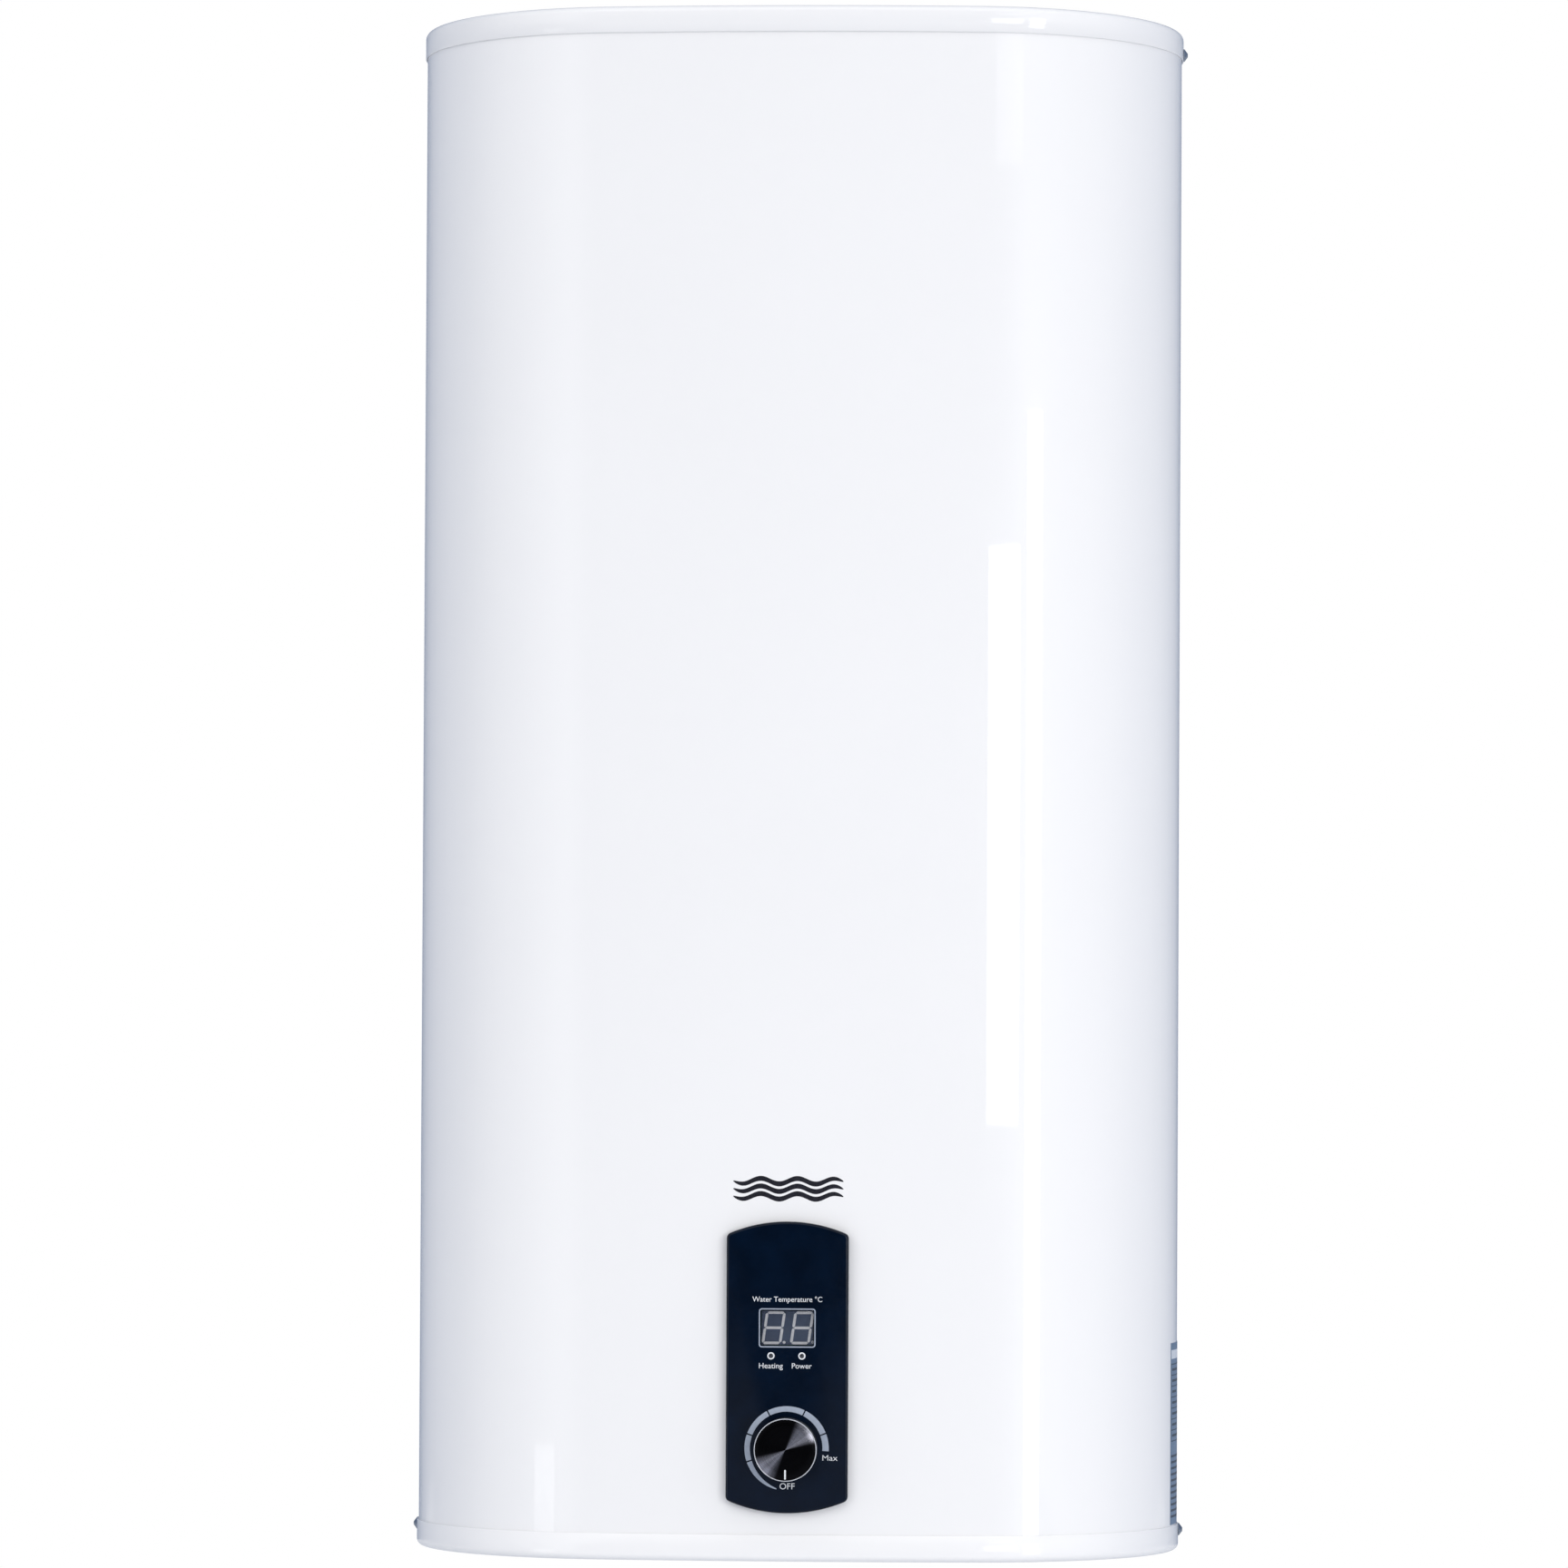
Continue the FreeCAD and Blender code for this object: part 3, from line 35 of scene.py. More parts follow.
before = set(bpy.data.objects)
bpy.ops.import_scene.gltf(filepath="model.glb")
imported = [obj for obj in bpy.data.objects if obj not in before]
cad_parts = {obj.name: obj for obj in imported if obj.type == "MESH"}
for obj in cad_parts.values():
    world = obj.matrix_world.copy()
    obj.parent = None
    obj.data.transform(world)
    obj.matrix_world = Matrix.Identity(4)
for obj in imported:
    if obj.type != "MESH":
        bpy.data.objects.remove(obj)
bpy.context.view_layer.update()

MM = 0.001

# ------------------------------------------------------------------------- places from the frame

CAP_LOW, CAP_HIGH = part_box("top_cap")
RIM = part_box("bottom_cap")[0].z
TOP_RIM = CAP_HIGH.z
HALF_WIDTH = (CAP_HIGH.x - CAP_LOW.x) / 2
HALF_DEPTH = (CAP_HIGH.y - CAP_LOW.y) / 2
MIDDLE_Y = (CAP_HIGH.y + CAP_LOW.y) / 2
SKIRT = TOP_RIM - CAP_LOW.z
PANEL_LOW, PANEL_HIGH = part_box("control_panel")
FACE_Y = PANEL_LOW.y
KNOB_LOW, KNOB_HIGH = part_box("knob_body")
KNOB_Z = (KNOB_LOW.z + KNOB_HIGH.z) / 2
KNOB_RADIUS = (KNOB_HIGH.x - KNOB_LOW.x) / 2
PIPE_LOW, PIPE_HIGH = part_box("hot_outlet_pipe")
PIPE_X = (PIPE_LOW.x + PIPE_HIGH.x) / 2
PIPE_Y = (PIPE_LOW.y + PIPE_HIGH.y) / 2

END_RADIUS = 123.5 * MM
END_REACH = HALF_WIDTH - END_RADIUS
CROWN = (END_REACH**2 + HALF_DEPTH**2 - END_RADIUS**2) / (2 * (HALF_DEPTH - END_RADIUS))
SHELL_INSET = 1.0 * MM
RIM_ROUND = 3.5 * MM
PIPE_HOLE = 11.6 * MM
SCREW_INSET = 3.7 * MM
DISH_Z = RIM + 8 * MM  # the underside of the lower cap's recessed floor
PRINT = 0.06 * MM  # how far print stands up
FRONT = Vector((0, -1, 0))
UP = Vector((0, 0, 1))
DOWN = Vector((0, 0, -1))


# -------------------------------------------------------------------------------------- materials


def new_material(name):
    material = bpy.data.materials.new(name)
    material.use_nodes = True
    nodes = material.node_tree.nodes
    return material, nodes, material.node_tree.links, nodes["Principled BSDF"]


def add_node(nodes, kind, values=(), **settings):
    """A new shader node, with its settings and with values for some of its inputs."""
    node = nodes.new("ShaderNode" + kind)
    for name, value in settings.items():
        setattr(node, name, value)
    for name, value in dict(values).items():
        node.inputs[name].default_value = value
    return node


def add_maths(nodes, links, kind, operation, *sources):
    """A Math or VectorMath node whose first inputs come from other nodes."""
    node = add_node(nodes, kind, operation=operation)
    for source, socket in zip(sources, node.inputs):
        links.new(source, socket)
    return node


def noise(nodes, links, scale, detail=2.0, stretch=(1, 1, 1)):
    """Noise in the object's own coordinates, in metres; stretch makes it coarser along an axis."""
    place = add_node(nodes, "TexCoord")
    mapping = add_node(nodes, "Mapping", {"Scale": [1 / amount for amount in stretch]})
    texture = add_node(nodes, "TexNoise", {"Scale": scale, "Detail": detail})
    links.new(place.outputs["Object"], mapping.inputs["Vector"])
    links.new(mapping.outputs["Vector"], texture.inputs["Vector"])
    return texture.outputs["Fac"]


def spread(nodes, links, factor, low, high, start=0.3, end=0.7):
    """A number between low and high as the factor goes from start to end."""
    limits = {"From Min": start, "From Max": end, "To Min": low, "To Max": high}
    remap = add_node(nodes, "MapRange", limits)
    links.new(factor, remap.inputs["Value"])
    return remap.outputs["Result"]


def two_tones(nodes, links, factor, dark, light, start=0.3, end=0.7):
    """A colour between dark and light as the factor goes from start to end."""
    ramp = add_node(nodes, "ValToRGB")
    for element, position, colour in zip(ramp.color_ramp.elements, (start, end), (dark, light)):
        element.position = position
        element.color = (*colour, 1)
    links.new(factor, ramp.inputs["Fac"])
    return ramp.outputs["Color"]


def add_bump(nodes, links, shader, height, distance):
    """Adds relief, in metres, on top of any relief that the shader has."""
    bump = add_node(nodes, "Bump", {"Distance": distance, "Strength": 1.0})
    links.new(height, bump.inputs["Height"])
    if shader.inputs["Normal"].links:
        links.new(shader.inputs["Normal"].links[0].from_socket, bump.inputs["Normal"])
    links.new(bump.outputs["Normal"], shader.inputs["Normal"])


def surface(
    name,
    colour,
    roughness,
    metallic=0.0,
    tone=0.06,
    tone_scale=40,
    rough_spread=0.05,
    grain_scale=900,
    grain=0.01 * MM,
    stretch=(1, 1, 1),
    coat=0.0,
    coat_roughness=0.05,
):
    """A finish with slight changes of tone and roughness and a fine grain."""
    material, nodes, links, shader = new_material(name)
    shader.inputs["Metallic"].default_value = metallic
    shader.inputs["Coat Weight"].default_value = coat
    shader.inputs["Coat Roughness"].default_value = coat_roughness
    broad = noise(nodes, links, tone_scale, 4.0, stretch)
    dark = [value * (1 - tone) for value in colour]
    light = [min(1, value * (1 + tone)) for value in colour]
    links.new(two_tones(nodes, links, broad, dark, light), shader.inputs["Base Color"])
    fine = noise(nodes, links, grain_scale, 2.0, stretch)
    low, high = max(0.02, roughness - rough_spread), roughness + rough_spread
    links.new(spread(nodes, links, fine, low, high), shader.inputs["Roughness"])
    add_bump(nodes, links, shader, fine, grain)
    return material


def enamel(name, colour, peel):
    """White gloss paint: a faint orange peel, and long shallow waves as in sheet metal."""
    material = surface(
        name,
        colour,
        0.13,
        tone=0.004,
        tone_scale=9,
        rough_spread=0.03,
        grain_scale=420,
        grain=peel,
        coat=0.55,
        coat_roughness=0.015,
    )
    nodes, links = material.node_tree.nodes, material.node_tree.links
    shader = nodes["Principled BSDF"]
    shader.inputs["Specular IOR Level"].default_value = 0.06
    waves = noise(nodes, links, 7, 0.0, (1, 1, 3))
    add_bump(nodes, links, shader, waves, 0.35 * MM)
    return material


def gloss_black(name, colour):
    """A polished dark moulding with fine hairline scratches and a little dust."""
    material = surface(
        name, colour, 0.16, tone=0.25, tone_scale=60, rough_spread=0.04, grain_scale=700, grain=0.004 * MM
    )
    nodes, links = material.node_tree.nodes, material.node_tree.links
    shader = nodes["Principled BSDF"]
    shader.inputs["Specular IOR Level"].default_value = 0.16
    scratches = noise(nodes, links, 900, 3.0, (1, 1, 40))
    add_bump(nodes, links, shader, scratches, 0.003 * MM)
    return material


def painted_highlight_fan(nodes, links, outwards):
    """A painted highlight: how brightly each point is painted, in two opposite beams from the middle, with
    uneven streaks.
    """
    tilt = math.radians(42)
    beam_edge = 0.86
    lean = add_maths(nodes, links, "VectorMath", "DOT_PRODUCT", outwards)
    lean.inputs[1].default_value = (math.cos(tilt), 0, math.sin(tilt))
    both_ways = add_maths(nodes, links, "Math", "ABSOLUTE", lean.outputs["Value"])
    painted_beam_mask = add_node(nodes, "MapRange", {"From Min": beam_edge}, interpolation_type="SMOOTHSTEP")
    links.new(both_ways.outputs["Value"], painted_beam_mask.inputs["Value"])
    streaks = add_node(nodes, "TexNoise", {"Scale": 5, "Detail": 3.0})
    links.new(outwards, streaks.inputs["Vector"])
    uneven = spread(nodes, links, streaks.outputs["Fac"], 0.35, 1.0)
    return add_maths(nodes, links, "Math", "MULTIPLY", painted_beam_mask.outputs["Result"], uneven).outputs["Value"]


def spun_metal(name, colour, axis_z):
    """Black anodised metal turned on a lathe: fine rings about the knob's axis, and a painted highlight, a
    fan of light painted into the base colour.
    """
    painted_highlight_gain = 60
    material, nodes, links, shader = new_material(name)
    shader.inputs["Metallic"].default_value = 1.0
    shader.inputs["Anisotropic"].default_value = 0.9
    place = add_node(nodes, "TexCoord")
    shift = add_node(nodes, "Mapping", {"Location": (0, 0, -axis_z), "Scale": (1, 0, 1)})
    links.new(place.outputs["Object"], shift.inputs["Vector"])
    reach = add_maths(nodes, links, "VectorMath", "LENGTH", shift.outputs["Vector"])
    rings = add_node(nodes, "TexNoise", {"Scale": 4500, "Detail": 1.0}, noise_dimensions="1D")
    links.new(reach.outputs["Value"], rings.inputs["W"])
    links.new(spread(nodes, links, rings.outputs["Fac"], 0.18, 0.26), shader.inputs["Roughness"])
    outwards = add_maths(nodes, links, "VectorMath", "NORMALIZE", shift.outputs["Vector"]).outputs["Vector"]
    links.new(outwards, shader.inputs["Tangent"])
    # Painted highlight: inside the two beams the base colour turns from the plain ring tone to a much
    # brighter copy of it.
    painted_highlight_blend = add_node(nodes, "Mix", data_type="RGBA")
    links.new(painted_highlight_fan(nodes, links, outwards), painted_highlight_blend.inputs["Factor"])
    for socket, gain in ((6, 1), (7, painted_highlight_gain)):
        dark = [value * 0.6 * gain for value in colour]
        light = [value * 1.5 * gain for value in colour]
        links.new(two_tones(nodes, links, rings.outputs["Fac"], dark, light), painted_highlight_blend.inputs[socket])
    links.new(painted_highlight_blend.outputs[2], shader.inputs["Base Color"])
    return material


def smoked_pane(name, colour):
    """A tinted clear window, through which the display shows."""
    material = surface(
        name, colour, 0.06, tone=0.05, rough_spread=0.02, grain_scale=300, grain=0.001 * MM, coat=1.0
    )
    material.node_tree.nodes["Principled BSDF"].inputs["Alpha"].default_value = 0.12
    return material


WHITE = (0.866, 0.861, 0.866)

PAINT = {
    "shell": enamel("shell_enamel", WHITE, 0.003 * MM),
    "cap": enamel("cap_gloss", WHITE, 0.002 * MM),
    "screw": surface("screw_plated", (0.27, 0.31, 0.37), 0.26, metallic=0.9, tone=0.12, grain=0.01 * MM),
    "black": gloss_black("panel_black", (0.0010, 0.0048, 0.0145)),
    "pane": smoked_pane("pane_smoked", (0.03, 0.04, 0.06)),
    "module": surface("display_dark", (0.034, 0.050, 0.092), 0.5, tone=0.15, tone_scale=200),
    "segment": surface("segment_white", (0.62, 0.62, 0.64), 0.35, tone=0.12, tone_scale=900),
    "print": surface("print_white", (0.72, 0.74, 0.77), 0.45, tone=0.05, tone_scale=700),
    "scale": surface("print_silver", (0.36, 0.41, 0.50), 0.35, tone=0.06, tone_scale=500),
    "mark": surface("mark_ink", (0.006, 0.006, 0.012), 0.3, tone=0.3, tone_scale=300),
    # The knob face: dark spun rings with a painted highlight fan in the base colour.
    "spun": spun_metal("knob_spun_painted_highlight", (0.0065, 0.0065, 0.0075), KNOB_Z),
    "trim": surface("knob_bright", (0.86, 0.87, 0.90), 0.38, metallic=1.0, tone=0.04, tone_scale=600),
    "knob": surface("knob_black", (0.010, 0.011, 0.014), 0.35, tone=0.2, tone_scale=300, grain=0.01 * MM),
    "lens": surface("lens_clear", (0.020, 0.024, 0.034), 0.12, tone=0.08, tone_scale=900, coat=1.0),
    "label": surface("label_film", (0.125, 0.190, 0.290), 0.38, tone=0.07, tone_scale=90),
    "label_ink": surface("label_ink", (0.62, 0.66, 0.72), 0.5, tone=0.06, tone_scale=500),
    "label_dark": surface("label_dark_ink", (0.030, 0.042, 0.065), 0.5, tone=0.1, tone_scale=500),
    "zinc": surface("zinc_plated", (0.62, 0.62, 0.60), 0.34, metallic=1.0, tone=0.1, tone_scale=220),
    "galvanised": surface(
        "galvanised_strip", (0.55, 0.57, 0.59), 0.42, metallic=0.9, tone=0.16, tone_scale=120,
        rough_spread=0.1,
    ),
    "stainless": surface(
        "stainless_sheet", (0.62, 0.62, 0.62), 0.3, metallic=1.0, tone=0.05, grain_scale=1500,
        stretch=(1, 1, 30),
    ),
    "brass": surface("brass_turned", (0.66, 0.46, 0.18), 0.25, metallic=1.0, tone=0.08, tone_scale=400),
    "foam": surface(
        "foam_cream", (0.76, 0.66, 0.38), 0.85, tone=0.12, tone_scale=160, grain_scale=500, grain=0.6 * MM
    ),
    "grey": surface("grey_moulding", (0.30, 0.31, 0.33), 0.45, tone=0.06),
    "dark": surface(
        "black_moulding", (0.016, 0.016, 0.018), 0.42, tone=0.2, grain_scale=1200, grain=0.02 * MM
    ),
    "nylon": surface("nylon_white", (0.72, 0.72, 0.69), 0.4, tone=0.04),
    "blue": surface("cold_blue", (0.012, 0.10, 0.50), 0.3, tone=0.08, tone_scale=150),
    "red": surface("hot_red", (0.50, 0.014, 0.012), 0.3, tone=0.08, tone_scale=150),
    "board": surface("board_green", (0.012, 0.13, 0.045), 0.35, tone=0.18, tone_scale=350),
    "relay": surface("relay_blue", (0.02, 0.06, 0.22), 0.4, tone=0.08),
    "lead": surface("lead_red", (0.36, 0.02, 0.015), 0.5, tone=0.1),
    "silicone": surface("gasket_silicone", (0.40, 0.07, 0.045), 0.6, tone=0.1),
    "sheath": surface("element_sheath", (0.36, 0.32, 0.29), 0.4, metallic=1.0, tone=0.2, tone_scale=90),
    "magnesium": surface(
        "magnesium_cast", (0.48, 0.48, 0.47), 0.55, metallic=0.9, tone=0.15, grain=0.08 * MM
    ),
    "copper": surface("copper_drawn", (0.62, 0.28, 0.16), 0.3, metallic=1.0, tone=0.1),
}

# Which finish each CAD node that stays in view, or stays inside, takes.
NODE_PAINT = {
    "foam": ["foam_insulation"],
    "galvanised": ["upper_wall_bracket", "lower_wall_bracket", "bracket_backing_plates", "board_bracket"],
    "stainless": ["left_tank", "right_tank", "transfer_pipes", "cold_inlet_pipe", "hot_outlet_pipe"]
    + ["left_flange_neck", "left_element_flange", "left_thermowell"]
    + ["right_flange_neck", "right_element_flange", "right_thermowell"],
    "zinc": ["flange_bolts", "board_screws", "potentiometer_nut"],
    "silicone": ["left_flange_gasket", "right_flange_gasket"],
    "sheath": ["left_heating_element", "right_heating_element"],
    "magnesium": ["left_anode_rod", "right_anode_rod"],
    "copper": ["left_sensor_probe", "right_sensor_probe"],
    "nylon": ["cold_diffuser", "terminal_block"],
    "board": ["control_board", "relay_board"],
    "grey": ["potentiometer_body"],
    "brass": ["potentiometer_shaft"],
    "relay": ["relays"],
    "dark": ["thermal_cutout", "control_harness", "gland_nut"],
    "red": ["cutout_reset_button"],
    "lead": ["element_leads"],
    "module": ["display_module"],
}


def paint_frame():
    for paint, names in NODE_PAINT.items():
        for name in names:
            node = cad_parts[name]
            node.data.materials.clear()
            node.data.materials.append(PAINT[paint])


# ------------------------------------------------------------------------------------ mesh helpers


def new_object(name, data):
    thing = bpy.data.objects.new(name, data)
    bpy.context.scene.collection.objects.link(thing)
    return thing


def new_mesh(name, vertices, faces):
    mesh = bpy.data.meshes.new(name)
    mesh.from_pydata([tuple(vertex) for vertex in vertices], [], faces)
    return mesh


def new_piece(name, vertices, faces, paint, body, replaces=(), slot=None, sharp=35):
    """A mesh piece, shaded smooth except at edges sharper than the given angle."""
    mesh = new_mesh(name, vertices, faces)
    mesh.validate()
    mesh.update()
    piece = new_object(name, mesh)
    finish_piece(piece, paint, body, replaces, sharp)
    return piece


def finish_piece(piece, paint, body, replaces=(), sharp=35):
    piece.data.materials.clear()
    piece.data.materials.append(PAINT[paint])
    piece.data.shade_smooth()
    piece.data.set_sharp_from_angle(angle=math.radians(sharp))
    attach(piece, body)
    if replaces:
        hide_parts(*replaces)


def bridge(rows, closed=True, first_cap=False, last_cap=False):
    """Vertices and faces of a surface through rows of points, each row a ring of the same count."""
    count = len(rows[0])
    vertices = [point for row in rows for point in row]
    faces = []
    for row in range(len(rows) - 1):
        for step in range(count if closed else count - 1):
            a = row * count + step
            b = row * count + (step + 1) % count
            faces.append((a, b, b + count, a + count))
    if first_cap:
        faces.append(tuple(reversed(range(count))))
    if last_cap:
        start = (len(rows) - 1) * count
        faces.append(tuple(range(start, start + count)))
    return vertices, faces


def join_parts(parts):
    """One vertex list and one face list from several."""
    vertices, faces = [], []
    for part_vertices, part_faces in parts:
        start = len(vertices)
        vertices += part_vertices
        faces += [tuple(index + start for index in face) for face in part_faces]
    return vertices, faces


def turned(profile, centre, axis, steps=64):
    """A shape turned about an axis; the profile's points are (distance along the axis, radius)."""
    axis = Vector(axis).normalized()
    side = axis.orthogonal().normalized()
    other = axis.cross(side)
    centre = Vector(centre)
    rows = []
    for along, radius in profile:
        row = []
        for step in range(steps):
            angle = 2 * math.pi * step / steps
            row.append(centre + axis * along + (side * math.cos(angle) + other * math.sin(angle)) * radius)
        rows.append(row)
    return bridge(rows, first_cap=True, last_cap=True)


def quarter_turns(steps):
    return [math.pi / 2 * step / steps for step in range(steps + 1)]


def circle(x, y, z, radius, steps=48):
    """Points round an upright axis, all at the height z."""
    angles = [2 * math.pi * step / steps for step in range(steps)]
    return [Vector((x + radius * math.cos(a), y + radius * math.sin(a), z)) for a in angles]


def prism(outline, back_y, front_y, round_over=0.0, steps=4):
    """A plate that faces the room: the outline is in x, z and runs anticlockwise seen from the front."""
    rows = [[Vector((x, back_y, z)) for x, z in outline]]
    if round_over:
        for turn in quarter_turns(steps):
            inset = round_over * (1 - math.cos(turn))
            depth = front_y + round_over * (1 - math.sin(turn))
            rows.append([Vector((x, depth, z)) for x, z in shrink(outline, inset)])
    else:
        rows.append([Vector((x, front_y, z)) for x, z in outline])
    return bridge(rows, first_cap=True, last_cap=True)


def shrink(outline, inset):
    """The outline moved inwards along its own normals."""
    moved = []
    count = len(outline)
    for index, (x, z) in enumerate(outline):
        before, after = outline[index - 1], outline[(index + 1) % count]
        run = Vector((after[0] - before[0], after[1] - before[1])).normalized()
        moved.append((x - run.y * inset, z + run.x * inset))
    return moved


def rounded_rectangle(x0, x1, z0, z1, radius, steps=6):
    """Anticlockwise points of a rectangle with round corners."""
    left, right, low, high = x0 + radius, x1 - radius, z0 + radius, z1 - radius
    points = []
    for x, z, quarter in ((right, low, 3), (right, high, 0), (left, high, 1), (left, low, 2)):
        angles = [quarter * math.pi / 2 + turn for turn in quarter_turns(steps)]
        points += [(x + radius * math.cos(angle), z + radius * math.sin(angle)) for angle in angles]
    return points


def frame_rows(outer, inner, start_y, end_y):
    """Rows of a frame that faces the room, between two outlines in x, z."""
    corners = ((outer, start_y), (outer, end_y), (inner, end_y), (inner, start_y), (outer, start_y))
    return [[Vector((x, y, z)) for x, z in outline] for outline, y in corners]


def cut(piece, cutters):
    """Cuts other meshes, given as (vertices, faces), out of a piece."""
    for number, (vertices, faces) in enumerate(cutters):
        mesh = new_mesh(f"{piece.name}_cutter_{number}", vertices, faces)
        cutter = new_object(mesh.name, mesh)
        modifier = piece.modifiers.new("cut", "BOOLEAN")
        modifier.operation = "DIFFERENCE"
        modifier.solver = "EXACT"
        modifier.object = cutter
        graph = bpy.context.evaluated_depsgraph_get()
        result = bpy.data.meshes.new_from_object(piece.evaluated_get(graph))
        piece.modifiers.clear()
        old = piece.data
        piece.data = result
        bpy.data.meshes.remove(old)
        bpy.data.objects.remove(cutter)
        bpy.data.meshes.remove(mesh)


# ----------------------------------------------------------------------------------------- casing


def casing_outline(inset, side_steps=72, crown_steps=40):
    """The casing's plan, anticlockwise from above; every inset gives matching points."""
    shift = CROWN - HALF_DEPTH
    tilt = math.atan2(shift, END_REACH)
    arcs = (
        (END_REACH, 0, END_RADIUS, -tilt, tilt, side_steps),
        (0, -shift, CROWN, tilt, math.pi - tilt, crown_steps),
        (-END_REACH, 0, END_RADIUS, math.pi - tilt, math.pi + tilt, side_steps),
        (0, shift, CROWN, math.pi + tilt, 2 * math.pi - tilt, crown_steps),
    )
    points = []
    for x, y, radius, start, end, steps in arcs:
        for step in range(steps):
            angle = start + (end - start) * step / steps
            reach = radius - inset
            points.append((x + reach * math.cos(angle), MIDDLE_Y + y + reach * math.sin(angle)))
    return points


def casing_row(inset, z):
    return [Vector((x, y, z)) for x, y in casing_outline(inset)]


def front_surface_y(x, inset=SHELL_INSET):
    """Where the casing's front crown is, at x from its middle."""
    return MIDDLE_Y - HALF_DEPTH + CROWN - math.sqrt((CROWN - inset) ** 2 - x**2)


def make_shell():
    """Painted sheet wrapped round the heater, with its lock seam down the back."""
    low, high = (corner.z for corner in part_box("outer_shell"))
    sheet = 0.6 * MM
    bands = 24
    rows = [casing_row(SHELL_INSET, low + (high - low) * step / bands) for step in range(bands + 1)]
    rows += [casing_row(SHELL_INSET + sheet, z) for z in (high, low)]
    rows.append(rows[0])
    shell = new_piece("shell_sheet", *bridge(rows), "shell", "heater", ["outer_shell"], "white_shell")
    opening = rounded_rectangle(-28 * MM, 28 * MM, RIM + 34 * MM, RIM + 181 * MM, 2 * MM)
    cut(shell, [prism(opening, MIDDLE_Y, PANEL_LOW.y - 5 * MM)])
    finish_piece(shell, "shell", "heater", ["outer_shell"])
    seam_x, seam_width = -78 * MM, 9 * MM
    slope, lift, sunk = 0.6 * MM, 0.55 * MM, 0.05 * MM
    rows = []
    for offset, rise in ((seam_width, 0), (seam_width - slope, lift), (slope, lift), (0, 0)):
        x = seam_x + offset
        y = 2 * MIDDLE_Y - front_surface_y(x) - sunk + rise
        rows.append([Vector((x, y, CAP_LOW.z)), Vector((x, y, RIM + SKIRT))])
    seam = bridge(rows, closed=False)
    new_piece("shell_lock_seam", *seam, "shell", "heater", slot="white_shell", sharp=60)


def cap_side(edge_z, rim_z):
    """Rows of a cap's side: inside its free edge, round the rolled edge, along and over the rounded rim."""
    way = 1 if rim_z > edge_z else -1
    rolled_edge = ((0.8, 1.2), (0.97, 0.5), (0.7, 0), (0.25, 0), (0, 0.3))
    rows = [casing_row(inset * MM, edge_z + way * rise * MM) for inset, rise in rolled_edge]
    for turn in quarter_turns(12):
        inset, fall = RIM_ROUND * (1 - math.cos(turn)), RIM_ROUND * (1 - math.sin(turn))
        rows.append(casing_row(inset, rim_z - way * fall))
    return rows


def make_top_cap():
    """A pressed cap: rolled free edge, upright skirt, rounded rim and a shallow step in its top."""
    rows = [casing_row(0.8 * MM, TOP_RIM - RIM_ROUND)] + cap_side(CAP_LOW.z, TOP_RIM)
    step_down = ((14, 0), (17, 0), (17.8, 0.25), (19.5, 0.75), (21, 1.0), (50, 1.0), (90, 1.0), (118, 1.0))
    rows += [casing_row(inset * MM, TOP_RIM - fall * MM) for inset, fall in step_down]
    vertices, faces = bridge(rows, last_cap=True)
    new_piece("top_cap_cover", vertices, faces, "cap", "heater", ["top_cap"], "white_cap", sharp=50)


def make_bottom_cap():
    """The lower cap: a standing rim round a recessed floor with openings for the pipes and the cover."""
    floor_top = DISH_Z + 1.2 * MM
    rows = [casing_row(3 * MM, floor_top), casing_row(0.8 * MM, RIM + 10 * MM)]
    rows += cap_side(RIM + SKIRT, RIM)
    rows.append(casing_row(14 * MM, RIM))
    for turn in quarter_turns(5):
        rows.append(casing_row((14 + 2 * math.sin(turn)) * MM, RIM + 2 * MM * (1 - math.cos(turn))))
    rows += [casing_row(16 * MM, DISH_Z - 1 * MM), casing_row(16.4 * MM, DISH_Z - 0.3 * MM)]
    rows += [casing_row(inset * MM, DISH_Z) for inset in (17.2, 60, 110)]
    rows += [casing_row(inset * MM, floor_top) for inset in (110, 60, 17)]
    cap = new_piece("bottom_cap_cover", *bridge(rows), "cap", "heater")
    cover_hole = rounded_rectangle(-159 * MM, 159 * MM, -201 * MM, -103 * MM, 4 * MM)
    cutters = [prism_down(cover_hole, RIM, floor_top + 4 * MM)]
    gland_low, gland_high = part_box("cable_gland")
    gland_x, gland_y = (gland_low.x + gland_high.x) / 2, (gland_low.y + gland_high.y) / 2
    holes = ((-PIPE_X, PIPE_Y, PIPE_HOLE), (PIPE_X, PIPE_Y, PIPE_HOLE), (gland_x, gland_y, 8 * MM))
    for x, y, radius in holes:
        cutters.append(turned([(-2 * MM, radius), (14 * MM, radius)], (x, y, RIM), UP))
    cut(cap, cutters)
    finish_piece(cap, "cap", "heater", ["bottom_cap"], sharp=50)


def prism_down(outline, low, high):
    """An upright prism whose outline is in x, y, anticlockwise from above."""
    rows = [[Vector((x, y, z)) for x, y in outline] for z in (low, high)]
    return bridge(rows, first_cap=True, last_cap=True)


def make_service_cover():
    """A flat plate with a chamfered edge and two fields of air slots."""
    low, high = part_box("service_cover")
    edge = 0.5 * MM
    outline = rounded_rectangle(low.x, high.x, low.y, high.y, 6 * MM, 8)
    rings = ((shrink(outline, edge), low.z), (outline, low.z + edge), (outline, high.z))
    rows = [[Vector((x, y, z)) for x, y in ring] for ring, z in rings]
    plate = bridge(rows, first_cap=True, last_cap=True)
    cover = new_piece("service_cover_plate", *plate, "cap", "heater")
    vents = []
    for x in (-80 * MM, 80 * MM):
        for row in range(7):
            y = (-182 + 10 * row) * MM
            vent = rounded_rectangle(x - 22 * MM, x + 22 * MM, y - 1.5 * MM, y + 1.5 * MM, 1.4 * MM, 4)
            vents.append(prism_down(vent, low.z - MM, high.z + MM))
    cut(cover, vents)
    finish_piece(cover, "cap", "heater", ["service_cover"])


# ---------------------------------------------------------------------------------------- fasteners


